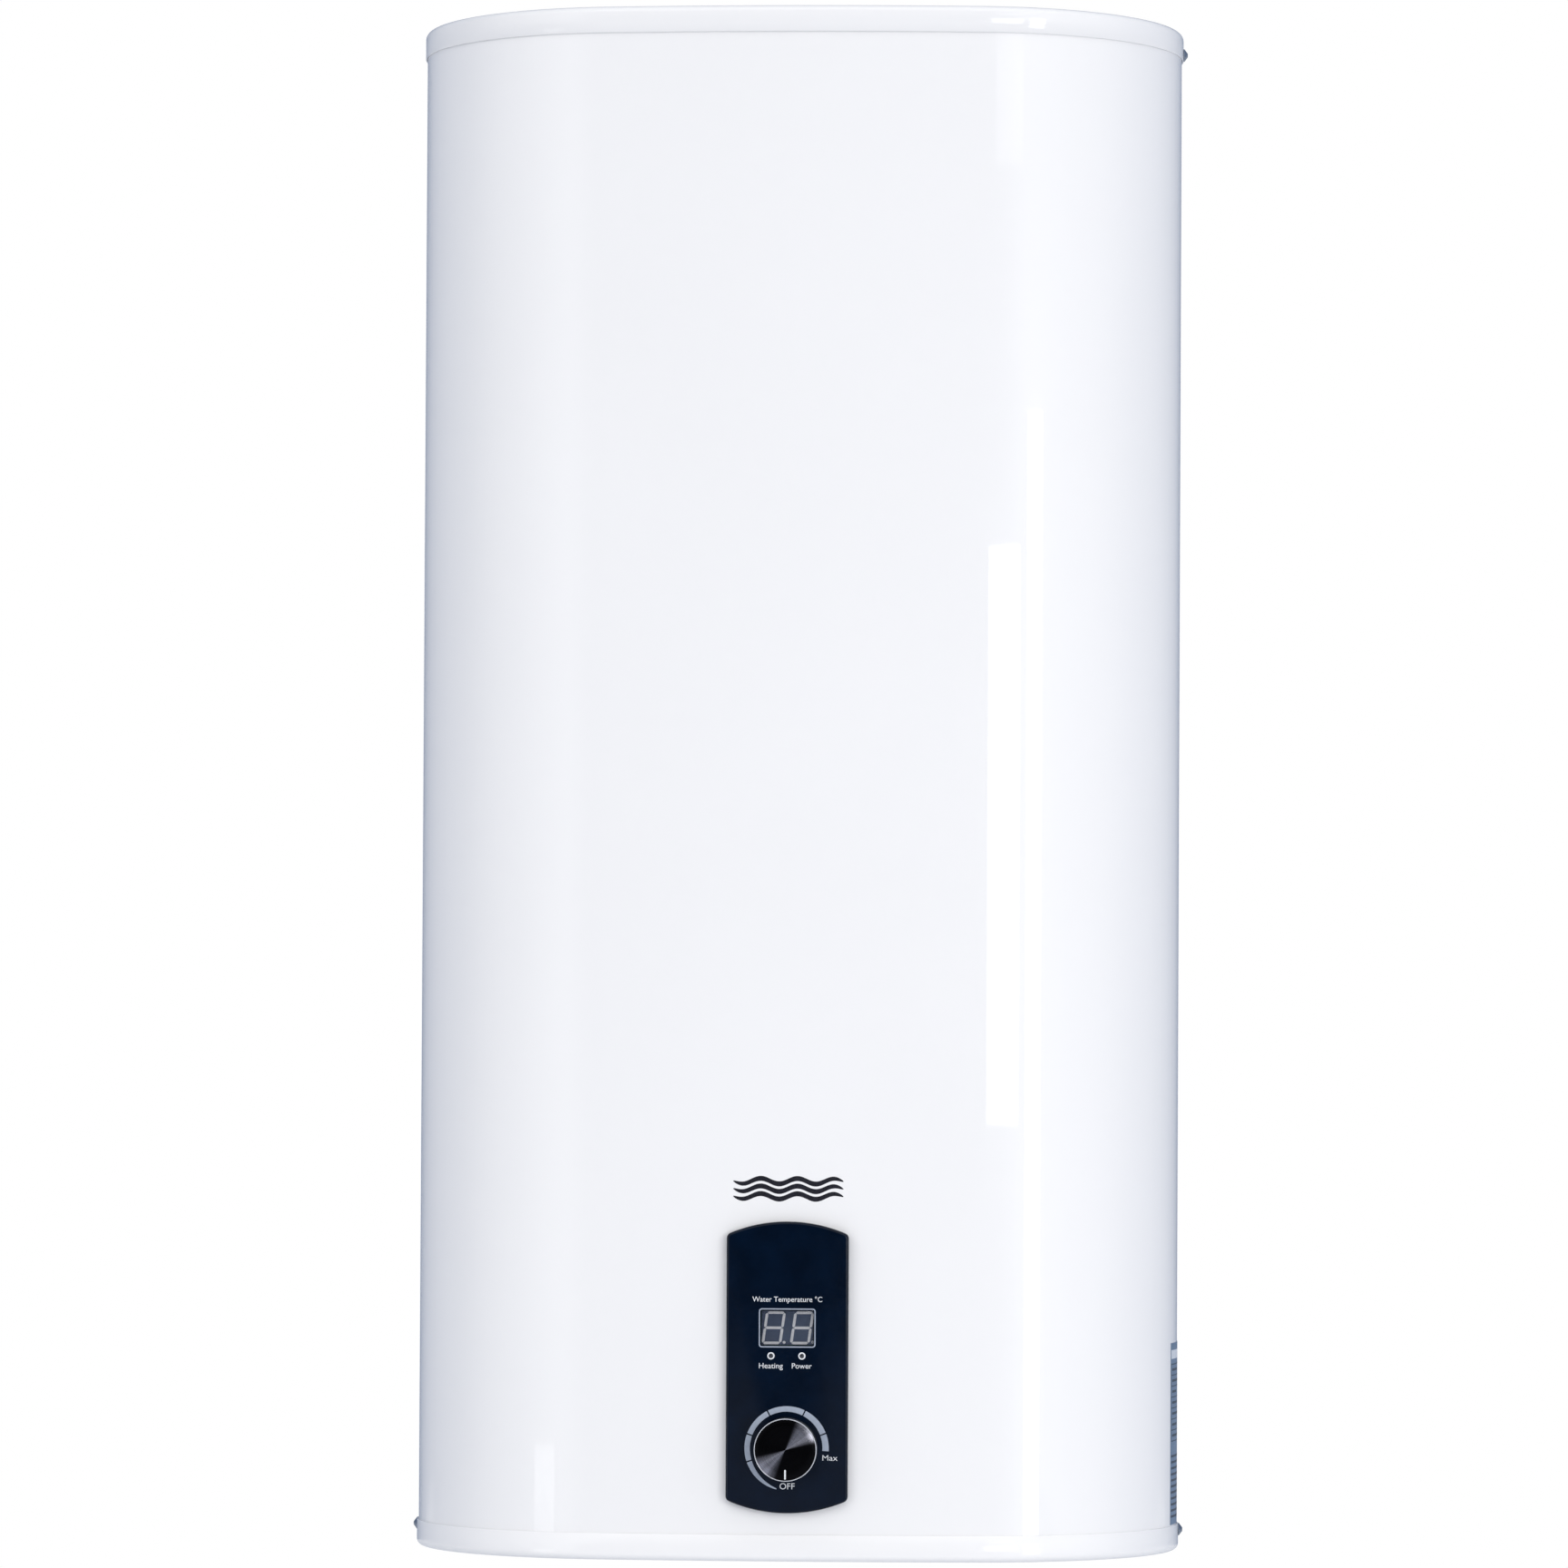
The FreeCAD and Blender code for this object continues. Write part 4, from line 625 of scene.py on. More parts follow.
def screw_head(seat, direction, radius, height, cone):
    """A head, a cone or a dome, that stands on the seat, with a cross recess in its top."""
    out = -Vector(direction)
    profile = [(0, radius * 0.2), (0, radius * 0.94), (0.12 * height, radius)]
    for step in range(1, 9):
        turn = math.pi / 2 * step / 8
        rise, width = (step / 8, 1 - step / 8) if cone else (math.sin(turn), math.cos(turn))
        profile.append((height * (0.16 + 0.84 * rise), radius * (0.27 + 0.73 * width)))
    head = turned(profile, seat, out, 40)
    side = out.orthogonal().normalized()
    other = out.cross(side)
    long, wide, deep = radius * (0.3 if cone else 0.5), radius * 0.12, height * 0.5
    top = Vector(seat) + out * height
    blades = []
    for a, b in ((side, other), (other, side)):
        corners = [a * long + b * wide, -a * long + b * wide, -a * long - b * wide, a * long - b * wide]
        if a.cross(b).dot(out) < 0:
            corners.reverse()
        floor = [top - out * deep + corner * 0.8 for corner in corners]
        mouth = [top + out * MM + corner for corner in corners]
        blades.append(bridge([floor, mouth], first_cap=True, last_cap=True))
    return head, blades


def make_screws(name, places, node, paint, slot, radius, height, cone):
    """One piece for a group of like screws; each place is (seat, direction)."""
    parts = []
    for number, (seat, direction) in enumerate(places):
        head, blades = screw_head(seat, direction, radius, height, cone)
        single = new_piece(f"{name}_{number}", *head, paint, "heater")
        cut(single, blades)
        parts.append(single)
    finish_piece(join_objects(name, parts), paint, "heater", [node], 40)


def join_objects(name, parts):
    """Puts the meshes of several pieces into one new object."""
    shapes = []
    for part in parts:
        mesh = part.data
        points = [vertex.co.copy() for vertex in mesh.vertices]
        shapes.append((points, [tuple(polygon.vertices) for polygon in mesh.polygons]))
        bpy.data.objects.remove(part)
        bpy.data.meshes.remove(mesh)
    return new_object(name, new_mesh(name, *join_parts(shapes)))


def make_cap_screws():
    """Cone-headed screws in the caps' skirts, and domed ones round the service cover."""
    low_z = RIM + SKIRT - SCREW_INSET
    high_z = CAP_LOW.z + SCREW_INSET
    rear = [(x * MM, CAP_HIGH.y - 1.2 * MM) for x in (-60, 60)]
    top = [((HALF_WIDTH, MIDDLE_Y, high_z), (-1, 0, 0))]
    top += [((x, y, high_z), (0, -1, 0)) for x, y in rear]
    bottom = [((HALF_WIDTH * sign, MIDDLE_Y, low_z), (-sign, 0, 0)) for sign in (-1, 1)]
    bottom += [((x, y, low_z), (0, -1, 0)) for x, y in rear]
    cone = (3.7 * MM, 2.4 * MM, True)
    for cap, places in (("top_cap", top), ("bottom_cap", bottom)):
        make_screws(f"{cap}_screw_set", places, f"{cap}_screws", "screw", "white_screws", *cone)
    seat_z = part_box("service_cover")[0].z
    cover = [((x * MM, y * MM, seat_z), (0, 0, 1)) for x in (-145, 0, 145) for y in (-100, -204)]
    dome = (2.9 * MM, 1.7 * MM, False)
    make_screws("cover_screw_set", cover, "service_cover_screws", "zinc", "zinc_steel", *dome)


def make_bracket_bolts():
    """Hexagon heads with a chamfer."""
    head_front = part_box("bracket_bolts")[1].y
    corner = 6.5 * MM / math.cos(math.pi / 6)
    parts = []
    for x in (-60 * MM, 60 * MM):
        for node in ("upper_wall_bracket", "lower_wall_bracket"):
            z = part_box(node)[0].z + 16 * MM
            rows = []
            for depth, scale in ((-5.2, 1), (-0.9, 1), (0, 0.84)):
                reach, y = corner * scale, head_front + depth * MM
                angles = [math.pi / 3 * step for step in range(6)]
                rows.append([Vector((x + reach * math.sin(a), y, z + reach * math.cos(a))) for a in angles])
            parts.append(bridge(rows, first_cap=True, last_cap=True))
    heads = join_parts(parts)
    new_piece("bracket_bolt_heads", *heads, "zinc", "heater", ["bracket_bolts"], "zinc_steel", sharp=20)


# -------------------------------------------------------------------------------------- water side


def threaded_tube(x, y, low, high, outer, bore):
    """A tube whose outside carries a true helical pipe thread between low and high."""
    pitch, depth = 1.814 * MM, 1.1 * MM
    steps, per_turn = 48, 8
    count = int((high - low) / pitch * per_turn)
    rows = []
    for row in range(count + 1):
        z = low + (high - low) * row / count
        ring = []
        for step in range(steps):
            angle = 2 * math.pi * step / steps
            phase = ((z - low) / pitch - step / steps) % 1
            fade = min(1, (z - low) / pitch, (high - z) / pitch)
            radius = outer - depth * abs(2 * phase - 1) * fade - depth * (1 - fade)
            ring.append(Vector((x + radius * math.cos(angle), y + radius * math.sin(angle), z)))
        rows.append(ring)
    top = high + 3 * MM
    rows += [circle(x, y, top, outer - depth), circle(x, y, top, bore), circle(x, y, low, bore), rows[0]]
    return bridge(rows)


def round_off(along, radius, edge):
    """Profile points that round the outer corner of a turned shape."""
    turns = quarter_turns(5)
    return [(along - edge + edge * math.sin(t), radius - edge + edge * math.cos(t)) for t in turns]


def make_pipe_ends():
    """Two threaded pipe ends and the coloured rings that tell cold from hot."""
    high = RIM + 11 * MM
    foot = high + 2.8 * MM
    bore, sleeve = 7.5 * MM, 9 * MM
    radius = (PIPE_HIGH.x - PIPE_LOW.x) / 2
    for name, sign, node in (("cold_thread", -1, "cold_inlet_pipe"), ("hot_thread", 1, "hot_outlet_pipe")):
        x, tall = sign * PIPE_X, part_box(node)[1].z
        end = threaded_tube(x, PIPE_Y, PIPE_LOW.z, high, radius, bore)
        upper = ((foot, bore), (foot, sleeve), (tall, sleeve), (tall, bore), (foot, bore))
        shape = join_parts([end, bridge([circle(x, PIPE_Y, z, reach) for z, reach in upper])])
        new_piece(name, *shape, "stainless", "heater", [node], "stainless", sharp=50)
    ring_low, ring_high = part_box("hot_marker_ring")
    outer, height, edge = (ring_high.x - ring_low.x) / 2, ring_high.z - ring_low.z, 0.8 * MM
    profile = [(0, PIPE_HOLE), (0, outer)] + round_off(height, outer, edge)
    for turn in quarter_turns(5):
        profile.append((height - edge + edge * math.cos(turn), PIPE_HOLE + edge - edge * math.sin(turn)))
    profile.append(profile[0])
    for name, sign, paint in (("cold", -1, "blue"), ("hot", 1, "red")):
        ring = open_turned(profile, (sign * PIPE_X, PIPE_Y, ring_high.z), DOWN)
        new_piece(f"{name}_ring", *ring, paint, "heater", [f"{name}_marker_ring"], f"{paint}_plastic")


def open_turned(profile, centre, axis, steps=64):
    """A turned ring: like turned(), but its profile closes on itself, so it has no end caps."""
    vertices, faces = turned(profile, centre, axis, steps)
    return vertices, faces[:-2]


def make_gland():
    """A cable gland: a domed hexagon with a rubber seal in its mouth."""
    low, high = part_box("cable_gland")
    x, y = (low.x + high.x) / 2, (low.y + high.y) / 2
    corner, sixth = (high.x - low.x) / 2, math.pi / 3

    def hexagon(z, steps=48):
        row = []
        for step in range(steps):
            angle = 2 * math.pi * step / steps
            from_flat = (angle + sixth) % sixth - sixth / 2
            reach = min(corner * math.cos(sixth / 2) / math.cos(from_flat), corner)
            row.append(Vector((x + reach * math.cos(angle), y + reach * math.sin(angle), z)))
        return row

    rows = [circle(x, y, high.z, 4 * MM), circle(x, y, high.z, 7.9 * MM)]
    rows += [circle(x, y, DISH_Z + 0.2 * MM, 7.9 * MM), hexagon(DISH_Z), hexagon(low.z + 1.4 * MM)]
    mouth = ((9.6, 0.3), (8.8, 0), (5.2, 0), (4.6, 0.8), (4, 1))
    rows += [circle(x, y, low.z + rise * MM, radius * MM) for radius, rise in mouth]
    rows.append(rows[0])
    rows.reverse()
    new_piece("gland_body", *bridge(rows), "dark", "heater", ["cable_gland"], "black_plastic", sharp=30)


# ------------------------------------------------------------------------------------ control panel


def panel_outline(steps=28):
    """The panel's face, anticlockwise from the front: straight sides, arched ends, small corners."""
    half = (PANEL_HIGH.x - PANEL_LOW.x) / 2
    arch = 7.2 * MM
    corner = 3.2 * MM
    bulge = (half**2 + arch**2) / (2 * arch)
    lean = math.asin((half - corner) / (bulge - corner))
    drop = bulge - (bulge - corner) * math.cos(lean)
    points = []
    for sign in (-1, 1):
        tip = PANEL_LOW.z if sign < 0 else PANEL_HIGH.z
        corner_z = tip - sign * drop
        arc = []
        for step in range(steps + 1):
            angle = -lean + 2 * lean * step / steps
            arc.append((bulge * math.sin(angle), tip - sign * bulge * (1 - math.cos(angle))))
        ends = []
        for step in range(1, 8):
            angle = lean + (math.pi / 2 - lean) * step / 7
            out, rise = corner * math.sin(angle), sign * corner * math.cos(angle)
            ends.append((half - corner + out, corner_z + rise))
        row = [(-x, z) for x, z in reversed(ends)] + arc + ends
        points += row if sign < 0 else list(reversed(row))
    return points


def make_panel():
    """The panel's moulding, with its openings, and the box behind it that holds the electronics."""
    outline = panel_outline()
    vertices, faces = prism(outline, PANEL_LOW.y + 5.5 * MM, FACE_Y, 1.6 * MM, 6)
    panel = new_piece("panel_moulding", vertices, faces, "black", "heater")
    low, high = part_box("display_window")
    grow = 0.15 * MM
    ledge = rounded_rectangle(low.x - grow, high.x + grow, low.z - grow, high.z + grow, 1.6 * MM)
    through = rounded_rectangle(low.x + MM, high.x - MM, low.z + MM, high.z - MM, 1.2 * MM)
    cutters = [prism(ledge, FACE_Y + 1.2 * MM, FACE_Y - MM), prism(through, FACE_Y + 7 * MM, FACE_Y - MM)]
    centre = (0, FACE_Y, KNOB_Z)
    cutters.append(turned([(-7 * MM, 3.7 * MM), (MM, 3.7 * MM)], centre, FRONT, 32))
    for x, z in light_places():
        cutters.append(turned([(-7 * MM, 1.3 * MM), (MM, 1.3 * MM)], (x, FACE_Y, z), FRONT, 24))
    box_outer = rounded_rectangle(-26 * MM, 26 * MM, RIM + 36 * MM, RIM + 179 * MM, 2 * MM)
    box_inner = rounded_rectangle(-24.2 * MM, 24.2 * MM, RIM + 37.8 * MM, RIM + 177.2 * MM, 1.5 * MM)
    cutters.append(prism(box_inner, FACE_Y + 8 * MM, FACE_Y + 2.4 * MM))
    cut(panel, cutters)
    finish_piece(panel, "black", "heater", ["control_panel"], 30)
    rows = frame_rows(box_outer, box_inner, FACE_Y + 5.5 * MM, PANEL_HIGH.y)
    rows.reverse()
    new_piece("panel_box", *bridge(rows), "black", "heater", slot="black_gloss")


def light_places():
    low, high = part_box("indicator_lights")
    z = (low.z + high.z) / 2
    return [(low.x + 1.2 * MM, z), (high.x - 1.2 * MM, z)]


def make_pane():
    low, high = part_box("display_window")
    outline = rounded_rectangle(low.x, high.x, low.z, high.z, 1.5 * MM)
    vertices, faces = prism(outline, high.y, low.y, 0.2 * MM, 2)
    new_piece("display_pane", vertices, faces, "pane", "heater", ["display_window"], "smoked_window", 60)


def flat_shapes(outlines, y, thickness):
    """Thin raised shapes that face the room."""
    parts = []
    for outline in outlines:
        area = sum(a[0] * b[1] - b[0] * a[1] for a, b in zip(outline, outline[1:] + outline[:1]))
        ring = outline if area > 0 else list(reversed(outline))
        parts.append(prism(ring, y, y - thickness))
    return join_parts(parts)


def segment_digit(left, low, width, height, thick, slant):
    """The seven bars of one digit, with pointed ends and small gaps, leaning to the right."""
    gap = thick * 0.12
    half = thick / 2
    middle = low + height / 2
    right, high = left + width, low + height

    def leaning(points):
        return [(x + (z - low) * slant, z) for x, z in points]

    def across(z):
        x0, x1 = left + half + gap, right - half - gap
        lower = [(x0, z), (x0 + half, z - half), (x1 - half, z - half)]
        return lower + [(x1, z), (x1 - half, z + half), (x0 + half, z + half)]

    def upright(x, z0, z1):
        z0, z1 = z0 + gap, z1 - gap
        rising = [(x, z0), (x + half, z0 + half), (x + half, z1 - half)]
        return rising + [(x, z1), (x - half, z1 - half), (x - half, z0 + half)]

    bars = [across(z) for z in (low + half, middle, high - half)]
    for x in (left + half, right - half):
        bars += [upright(x, low + half, middle), upright(x, middle, high - half)]
    return [leaning(bar) for bar in bars]


def disc(x, z, radius, steps=24):
    angles = [2 * math.pi * step / steps for step in range(steps)]
    return [(x + radius * math.cos(a), z + radius * math.sin(a)) for a in angles]


def ring_shape(x, z, inner, outer, y, thickness, steps=48):
    """A flat printed ring."""
    profile = [(0, inner), (0, outer), (thickness, outer), (thickness, inner), (0, inner)]
    return open_turned(profile, (x, y, z), FRONT, steps)


def make_display():
    """Two lit digits with a point and a degree ring, and the thin line round the window."""
    low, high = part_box("display_window")
    face_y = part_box("display_module")[0].y
    middle_z = (low.z + high.z) / 2
    height, width, thick = 18.2 * MM, 11.0 * MM, 1.45 * MM
    slant = math.tan(math.radians(8.2))
    bottom = middle_z - height / 2
    bars = []
    for left in (-14.4 * MM, 1.3 * MM):
        bars += segment_digit(left, bottom, width, height, thick, slant)
    bars.append(disc(-1.75 * MM, bottom + 1.1 * MM, 0.8 * MM))
    shapes = flat_shapes(bars, face_y, 0.15 * MM)
    point = ring_shape(14.0 * MM, bottom + 1.3 * MM, 0.35 * MM, 0.75 * MM, face_y, 0.15 * MM, 24)
    new_piece("display_segments", *join_parts([shapes, point]), "segment", "heater", slot="white_print")
    grow = 0.1 * MM
    outer = rounded_rectangle(low.x - grow, high.x + grow, low.z - grow, high.z + grow, 1.7 * MM)
    rows = frame_rows(outer, shrink(outer, 0.65 * MM), low.y, low.y - PRINT)
    new_piece("display_frame", *bridge(rows), "scale", "heater", slot="white_print")


def make_lights():
    lenses, rings = [], []
    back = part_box("indicator_lights")[1].y
    radius, flank = 1.2 * MM, back - FACE_Y - 0.35 * MM
    for x, z in light_places():
        dome = [(0, radius), (flank, radius)]
        for turn in quarter_turns(5):
            dome.append((flank + 0.3 * MM * math.sin(turn), radius * math.cos(turn) + 0.02 * MM))
        lenses.append(turned(dome, (x, back, z), FRONT, 24))
        rings.append(ring_shape(x, z, 1.3 * MM, 2.0 * MM, FACE_Y, PRINT))
    new_piece("light_lenses", *join_parts(lenses), "lens", "heater", ["indicator_lights"], "light_lens")
    new_piece("light_rings", *join_parts(rings), "print", "heater", slot="white_print")


def make_scale():
    """Six bands round the knob that thicken from OFF to the highest setting."""
    outer = 23.3 * MM
    stops = (14, 71, 110, 152.5, 206, 248.6, 273.5)
    gap = 1.0

    def width(angle):
        growth = min(1, (angle - stops[0]) / 72)
        return (0.6 + 2.4 * growth * (2 - growth) + 0.5 * max(0, (angle - 180) / 90)) * MM

    shapes = []
    for start, end in zip(stops, stops[1:]):
        a0 = start + (0 if start == stops[0] else gap)
        a1 = end - (0 if end == stops[-1] else gap)
        steps = 16
        angles = [a0 + (a1 - a0) * step / steps for step in range(steps + 1)]
        far = [clock(angle, outer) for angle in angles]
        near = [clock(angle, outer - width(angle)) for angle in reversed(angles)]
        shapes.append(far + near)
    new_piece("dial_scale", *flat_shapes(shapes, FACE_Y, PRINT), "scale", "heater", slot="white_print")


def clock(angle, radius):
    """A point round the knob's axis, clockwise from straight down, seen from the front."""
    turned_by = math.radians(angle)
    return (-radius * math.sin(turned_by), KNOB_Z - radius * math.cos(turned_by))


def make_lettering(name, text, x, z, height, width):
    """Generic function words printed on the panel, fitted to a width and a capital height."""
    curve = bpy.data.curves.new(name, "FONT")
    curve.body = text
    curve.align_x = "CENTER"
    curve.size = 1
    curve.offset = 0.001
    curve.extrude = 0.02
    curve.resolution_u = 4
    maker = new_object(name + "_maker", curve)
    graph = bpy.context.evaluated_depsgraph_get()
    mesh = bpy.data.meshes.new_from_object(maker.evaluated_get(graph))
    bpy.data.objects.remove(maker)
    xs = [vertex.co.x for vertex in mesh.vertices]
    capital = 0.70
    stretch_x, stretch_z = width / (max(xs) - min(xs)), height / capital
    middle = (max(xs) + min(xs)) / 2
    for vertex in mesh.vertices:
        across, up, lift = vertex.co
        sink = PRINT * (lift / 0.04 + 0.5)
        vertex.co = (x + (across - middle) * stretch_x, FACE_Y - sink, z + (up - capital / 2) * stretch_z)
    mesh.name = name
    finish_piece(new_object(name, mesh), "print", "heater")


def make_legends():
    """The panel's words; each row is name, text, place in x and z, and height and width in mm."""
    display_z = sum(corner.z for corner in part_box("display_window")) / 2
    (left, light_z), right = light_places()[0], light_places()[1][0]
    legends = (
        ("legend_temperature", "Water Temperature °C", 0, display_z + 15.9 * MM, 2.9, 38.6),
        ("legend_heat", "Heating", left, light_z - 5.4 * MM, 3.0, 13.2),
        ("legend_power", "Power", right, light_z - 5.4 * MM, 3.0, 11),
        ("legend_off", "OFF", 0.4 * MM, KNOB_Z - 20.8 * MM, 3.4, 8.3),
        ("legend_max", "Max", 24 * MM, KNOB_Z - 5 * MM, 3.1, 8.4),
    )
    for name, text, x, z, height, width in legends:
        make_lettering(name, text, x, z, height * MM, width * MM)


def wave_edge(centre_z, side, lift, steps=72):
    """Points along a wave's lower (-1) or upper (1) edge on the casing's front."""
    half_length, half_thick = 30.5 * MM, 1.4 * MM
    row = []
    for step in range(steps + 1):
        x = -half_length + 2 * half_length * step / steps
        share = x / half_length
        taper = math.sqrt(max(0.02, 1 - abs(share) ** 6))
        z = centre_z + 1.5 * MM * math.sin(share * math.pi * 3)
        row.append(Vector((x, front_surface_y(x) - lift, z + side * half_thick * taper)))
    return row


def make_wave_mark():
    """A plain mark above the panel: three stacked waves."""
    parts = []
    edges = ((-1, 0), (1, 0), (1, PRINT), (-1, PRINT), (-1, 0))
    for level in (-4.2 * MM, 0, 4.2 * MM):
        rows = [wave_edge(RIM + 206 * MM + level, side, lift) for side, lift in edges]
        parts.append(bridge(rows, closed=False))
    new_piece("wave_mark", *join_parts(parts), "mark", "heater", slot="black_gloss")


def make_knob():
    """A black knob with a spun metal face that carries a painted highlight, a bright cut rim and a white
    pointer.
    """
    centre_y = KNOB_HIGH.y
    face_low, face_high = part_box("knob_face")
    ring_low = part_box("knob_trim_ring")[0]
    centre = (0, centre_y, KNOB_Z)
    depth = centre_y - face_high.y
    radius = KNOB_RADIUS
    edge = 0.8 * MM
    side = [(edge * (1 - math.cos(t)), radius - edge + edge * math.sin(t)) for t in quarter_turns(5)]
    profile = [(2.4 * MM, 5.5 * MM), (2.4 * MM, radius - 2 * MM), (0, radius - 2 * MM)] + side
    profile += [(depth, radius), (depth, 4 * MM)]
    vertices, faces = turned(profile, centre, FRONT, 128)
    new_piece("knob_grip", vertices, faces, "knob", "knob", ["knob_body"], "black_knob", 40)
    face_radius = radius - 0.45 * MM
    dish = centre_y - face_low.y
    profile = [(depth, 0.5 * MM), (depth, face_radius), (dish - 0.05 * MM, face_radius)]
    profile += [(dish, face_radius - 0.1 * MM)]
    profile += [(dish, face_radius * share) for share in (0.75, 0.5, 0.25, 0.03)]
    vertices, faces = turned(profile, centre, FRONT, 128)
    # The disc's finish has a painted highlight fan in its base colour.
    new_piece("knob_disc", vertices, faces, "spun", "knob", ["knob_face"], "spun_metal", 40)
    front = centre_y - ring_low.y
    cut_edge = 0.15 * MM
    profile = [(depth, radius), (front - cut_edge, radius), (front, radius - cut_edge)]
    profile += [(front, face_radius), (depth, face_radius), (depth, radius)]
    vertices, faces = open_turned(profile, centre, FRONT, 128)
    new_piece("knob_rim", vertices, faces, "trim", "knob", ["knob_trim_ring"], "bright_ring", 20)
    low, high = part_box("knob_pointer")
    outline = rounded_rectangle(low.x, high.x, low.z, high.z, 0.35 * MM)
    vertices, faces = prism(outline, face_low.y, low.y)
    new_piece("knob_line", vertices, faces, "print", "knob", ["knob_pointer"], "white_print")


# ------------------------------------------------------------------------------------ rating plate


def make_rating_plate():
    """A printed film on the right side: ruled table above, rows of small print below, no lettering."""
    low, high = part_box("rating_plate")
    centre_x = HALF_WIDTH - END_RADIUS
    radius = END_RADIUS - SHELL_INSET
    start = math.asin((low.y - MIDDLE_Y) / (radius + 0.3 * MM))
    end = math.asin((high.y - MIDDLE_Y) / (radius + 0.3 * MM))
    length = radius * (end - start)

    def place(s, z, lift):
        angle = start + s / radius
        reach = radius + lift
        return Vector((centre_x + reach * math.cos(angle), MIDDLE_Y + reach * math.sin(angle), z))

    def patch(s0, s1, z0, z1, base, lift):
        steps = max(1, math.ceil((s1 - s0) / (3 * MM)))
        track = [s0 + (s1 - s0) * step / steps for step in range(steps + 1)]
        corners = ((z0, base), (z0, lift), (z1, lift), (z1, base), (z0, base))
        rows = [[place(s, z, up) for s in track] for z, up in corners]
        vertices, faces = bridge(rows, closed=False)
        count = len(track)
        faces.append(tuple(row * count for row in (3, 2, 1, 0)))
        faces.append(tuple(row * count + count - 1 for row in (0, 1, 2, 3)))
        return vertices, faces

    film = 0.22 * MM
    vertices, faces = patch(0, length, low.z, high.z, 0.02 * MM, film)
    new_piece("rating_film", vertices, faces, "label", "heater", ["rating_plate"], "label_film", 60)
    ink = film + 0.03 * MM
    tall = high.z - low.z
    edge = 1 * MM
    lines, heading = [], []
    rule = 0.6 * MM
    table_low, table_high = low.z + tall * 0.46, high.z - 12 * MM
    rows = 7
    for row in range(rows + 1):
        z = table_low + (table_high - table_low) * row / rows
        lines.append(patch(edge, length - edge, z - rule / 2, z + rule / 2, film, ink))
        if row < rows:
            bar = z + (table_high - table_low) / rows * 0.5
            reach = (0.34, 0.25, 0.38, 0.3, 0.22, 0.36, 0.28)[row]
            spans = ((edge + 2 * MM, edge + length * reach), (length * 0.55, length * (0.62 + reach * 0.7)))
            for first, last in spans:
                lines.append(patch(first, last, bar - 0.7 * MM, bar + 0.7 * MM, film, ink))
    for s in (edge, length * 0.5, length - edge):
        lines.append(patch(s - rule / 2, s + rule / 2, table_low, table_high, film, ink))
    heading.append(patch(edge, length - edge, high.z - 9 * MM, high.z - 4 * MM, film, ink))
    for row in range(11):
        z = low.z + 4 * MM + row * 3.4 * MM
        reach = (0.92, 0.86, 0.9, 0.6, 0.88, 0.93, 0.82, 0.9, 0.5, 0.87, 0.91)[row]
        lines.append(patch(edge, edge + (length - 2 * edge) * reach, z, z + 1.3 * MM, film, ink))
    new_piece("rating_print", *join_parts(lines), "label_dark", "heater", slot="label_film", sharp=60)
    new_piece("rating_heading", *join_parts(heading), "label_ink", "heater", slot="label_film", sharp=60)


def make_fill_plug():
    """The button that closes the foam's filling hole in the back."""
    low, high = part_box("foam_fill_plug")
    x, z = (low.x + high.x) / 2, (low.z + high.z) / 2
    radius = (high.x - low.x) / 2
    thick = 1.9 * MM
    edge = 1.2 * MM
    profile = [(-13 * MM, 8.8 * MM), (0, 8.8 * MM), (0, radius)]
    profile += round_off(thick, radius, edge)
    profile += [(thick, 6 * MM), (thick - 0.5 * MM, 5.2 * MM), (thick - 0.5 * MM, 0.4 * MM)]
    vertices, faces = turned(profile, (x, high.y - thick, z), (0, 1, 0), 48)
    new_piece("fill_plug_button", vertices, faces, "grey", "heater", ["foam_fill_plug"], "grey_plastic")


# --------------------------------------------------------------------------------- stage and light


def make_camera():
    """A long lens, a little to the right, low and tipped up by about a degree."""
    data = bpy.data.cameras.new("camera")
    camera = new_object("camera", data)
    data.sensor_width = 36
    data.lens = 161.8
    data.shift_x = -0.0037
    data.shift_y = 0.0605
    data.clip_end = 100
    around, pitch, roll = (math.radians(angle) for angle in (2.7, 1.27, 0.29))
    distance, height = 3.9, RIM + 0.291
    camera.location = (distance * math.sin(around), CAP_LOW.y - distance * math.cos(around), height)
    turn = Matrix.Rotation(around, 4, "Z") @ Matrix.Rotation(math.pi / 2 + pitch, 4, "X")
    camera.matrix_world = Matrix.Translation(camera.location) @ turn @ Matrix.Rotation(roll, 4, "Z")
    bpy.context.scene.camera = camera


# The room's light along Y: -1 is the room in front of the heater, 1 is the side of its wall.
SKY = (
    (-1.0, (0.03, 0.04, 0.06)),
    (-0.955, (0.035, 0.045, 0.07)),
    (-0.82, (1.57, 1.57, 1.57)),
    (-0.40, (1.12, 1.13, 1.16)),
    (0.30, (0.255, 0.315, 0.445)),
    (1.0, (0.20, 0.25, 0.36)),
)

# Each soft lamp: name, azimuth in degrees, height above the lower rim, width, height and watts.
LAMPS = (
    ("window_near", 23.3, 0.487, 0.90, 0.565, 8.4),
    ("window_far", 39.2, 0.35, 0.44, 1.1, 9.8),
    ("window_high", 25, 1.25, 0.75, 0.22, 0.8),
    ("window_low", -45, -0.28, 0.6, 0.35, 1.6),
)


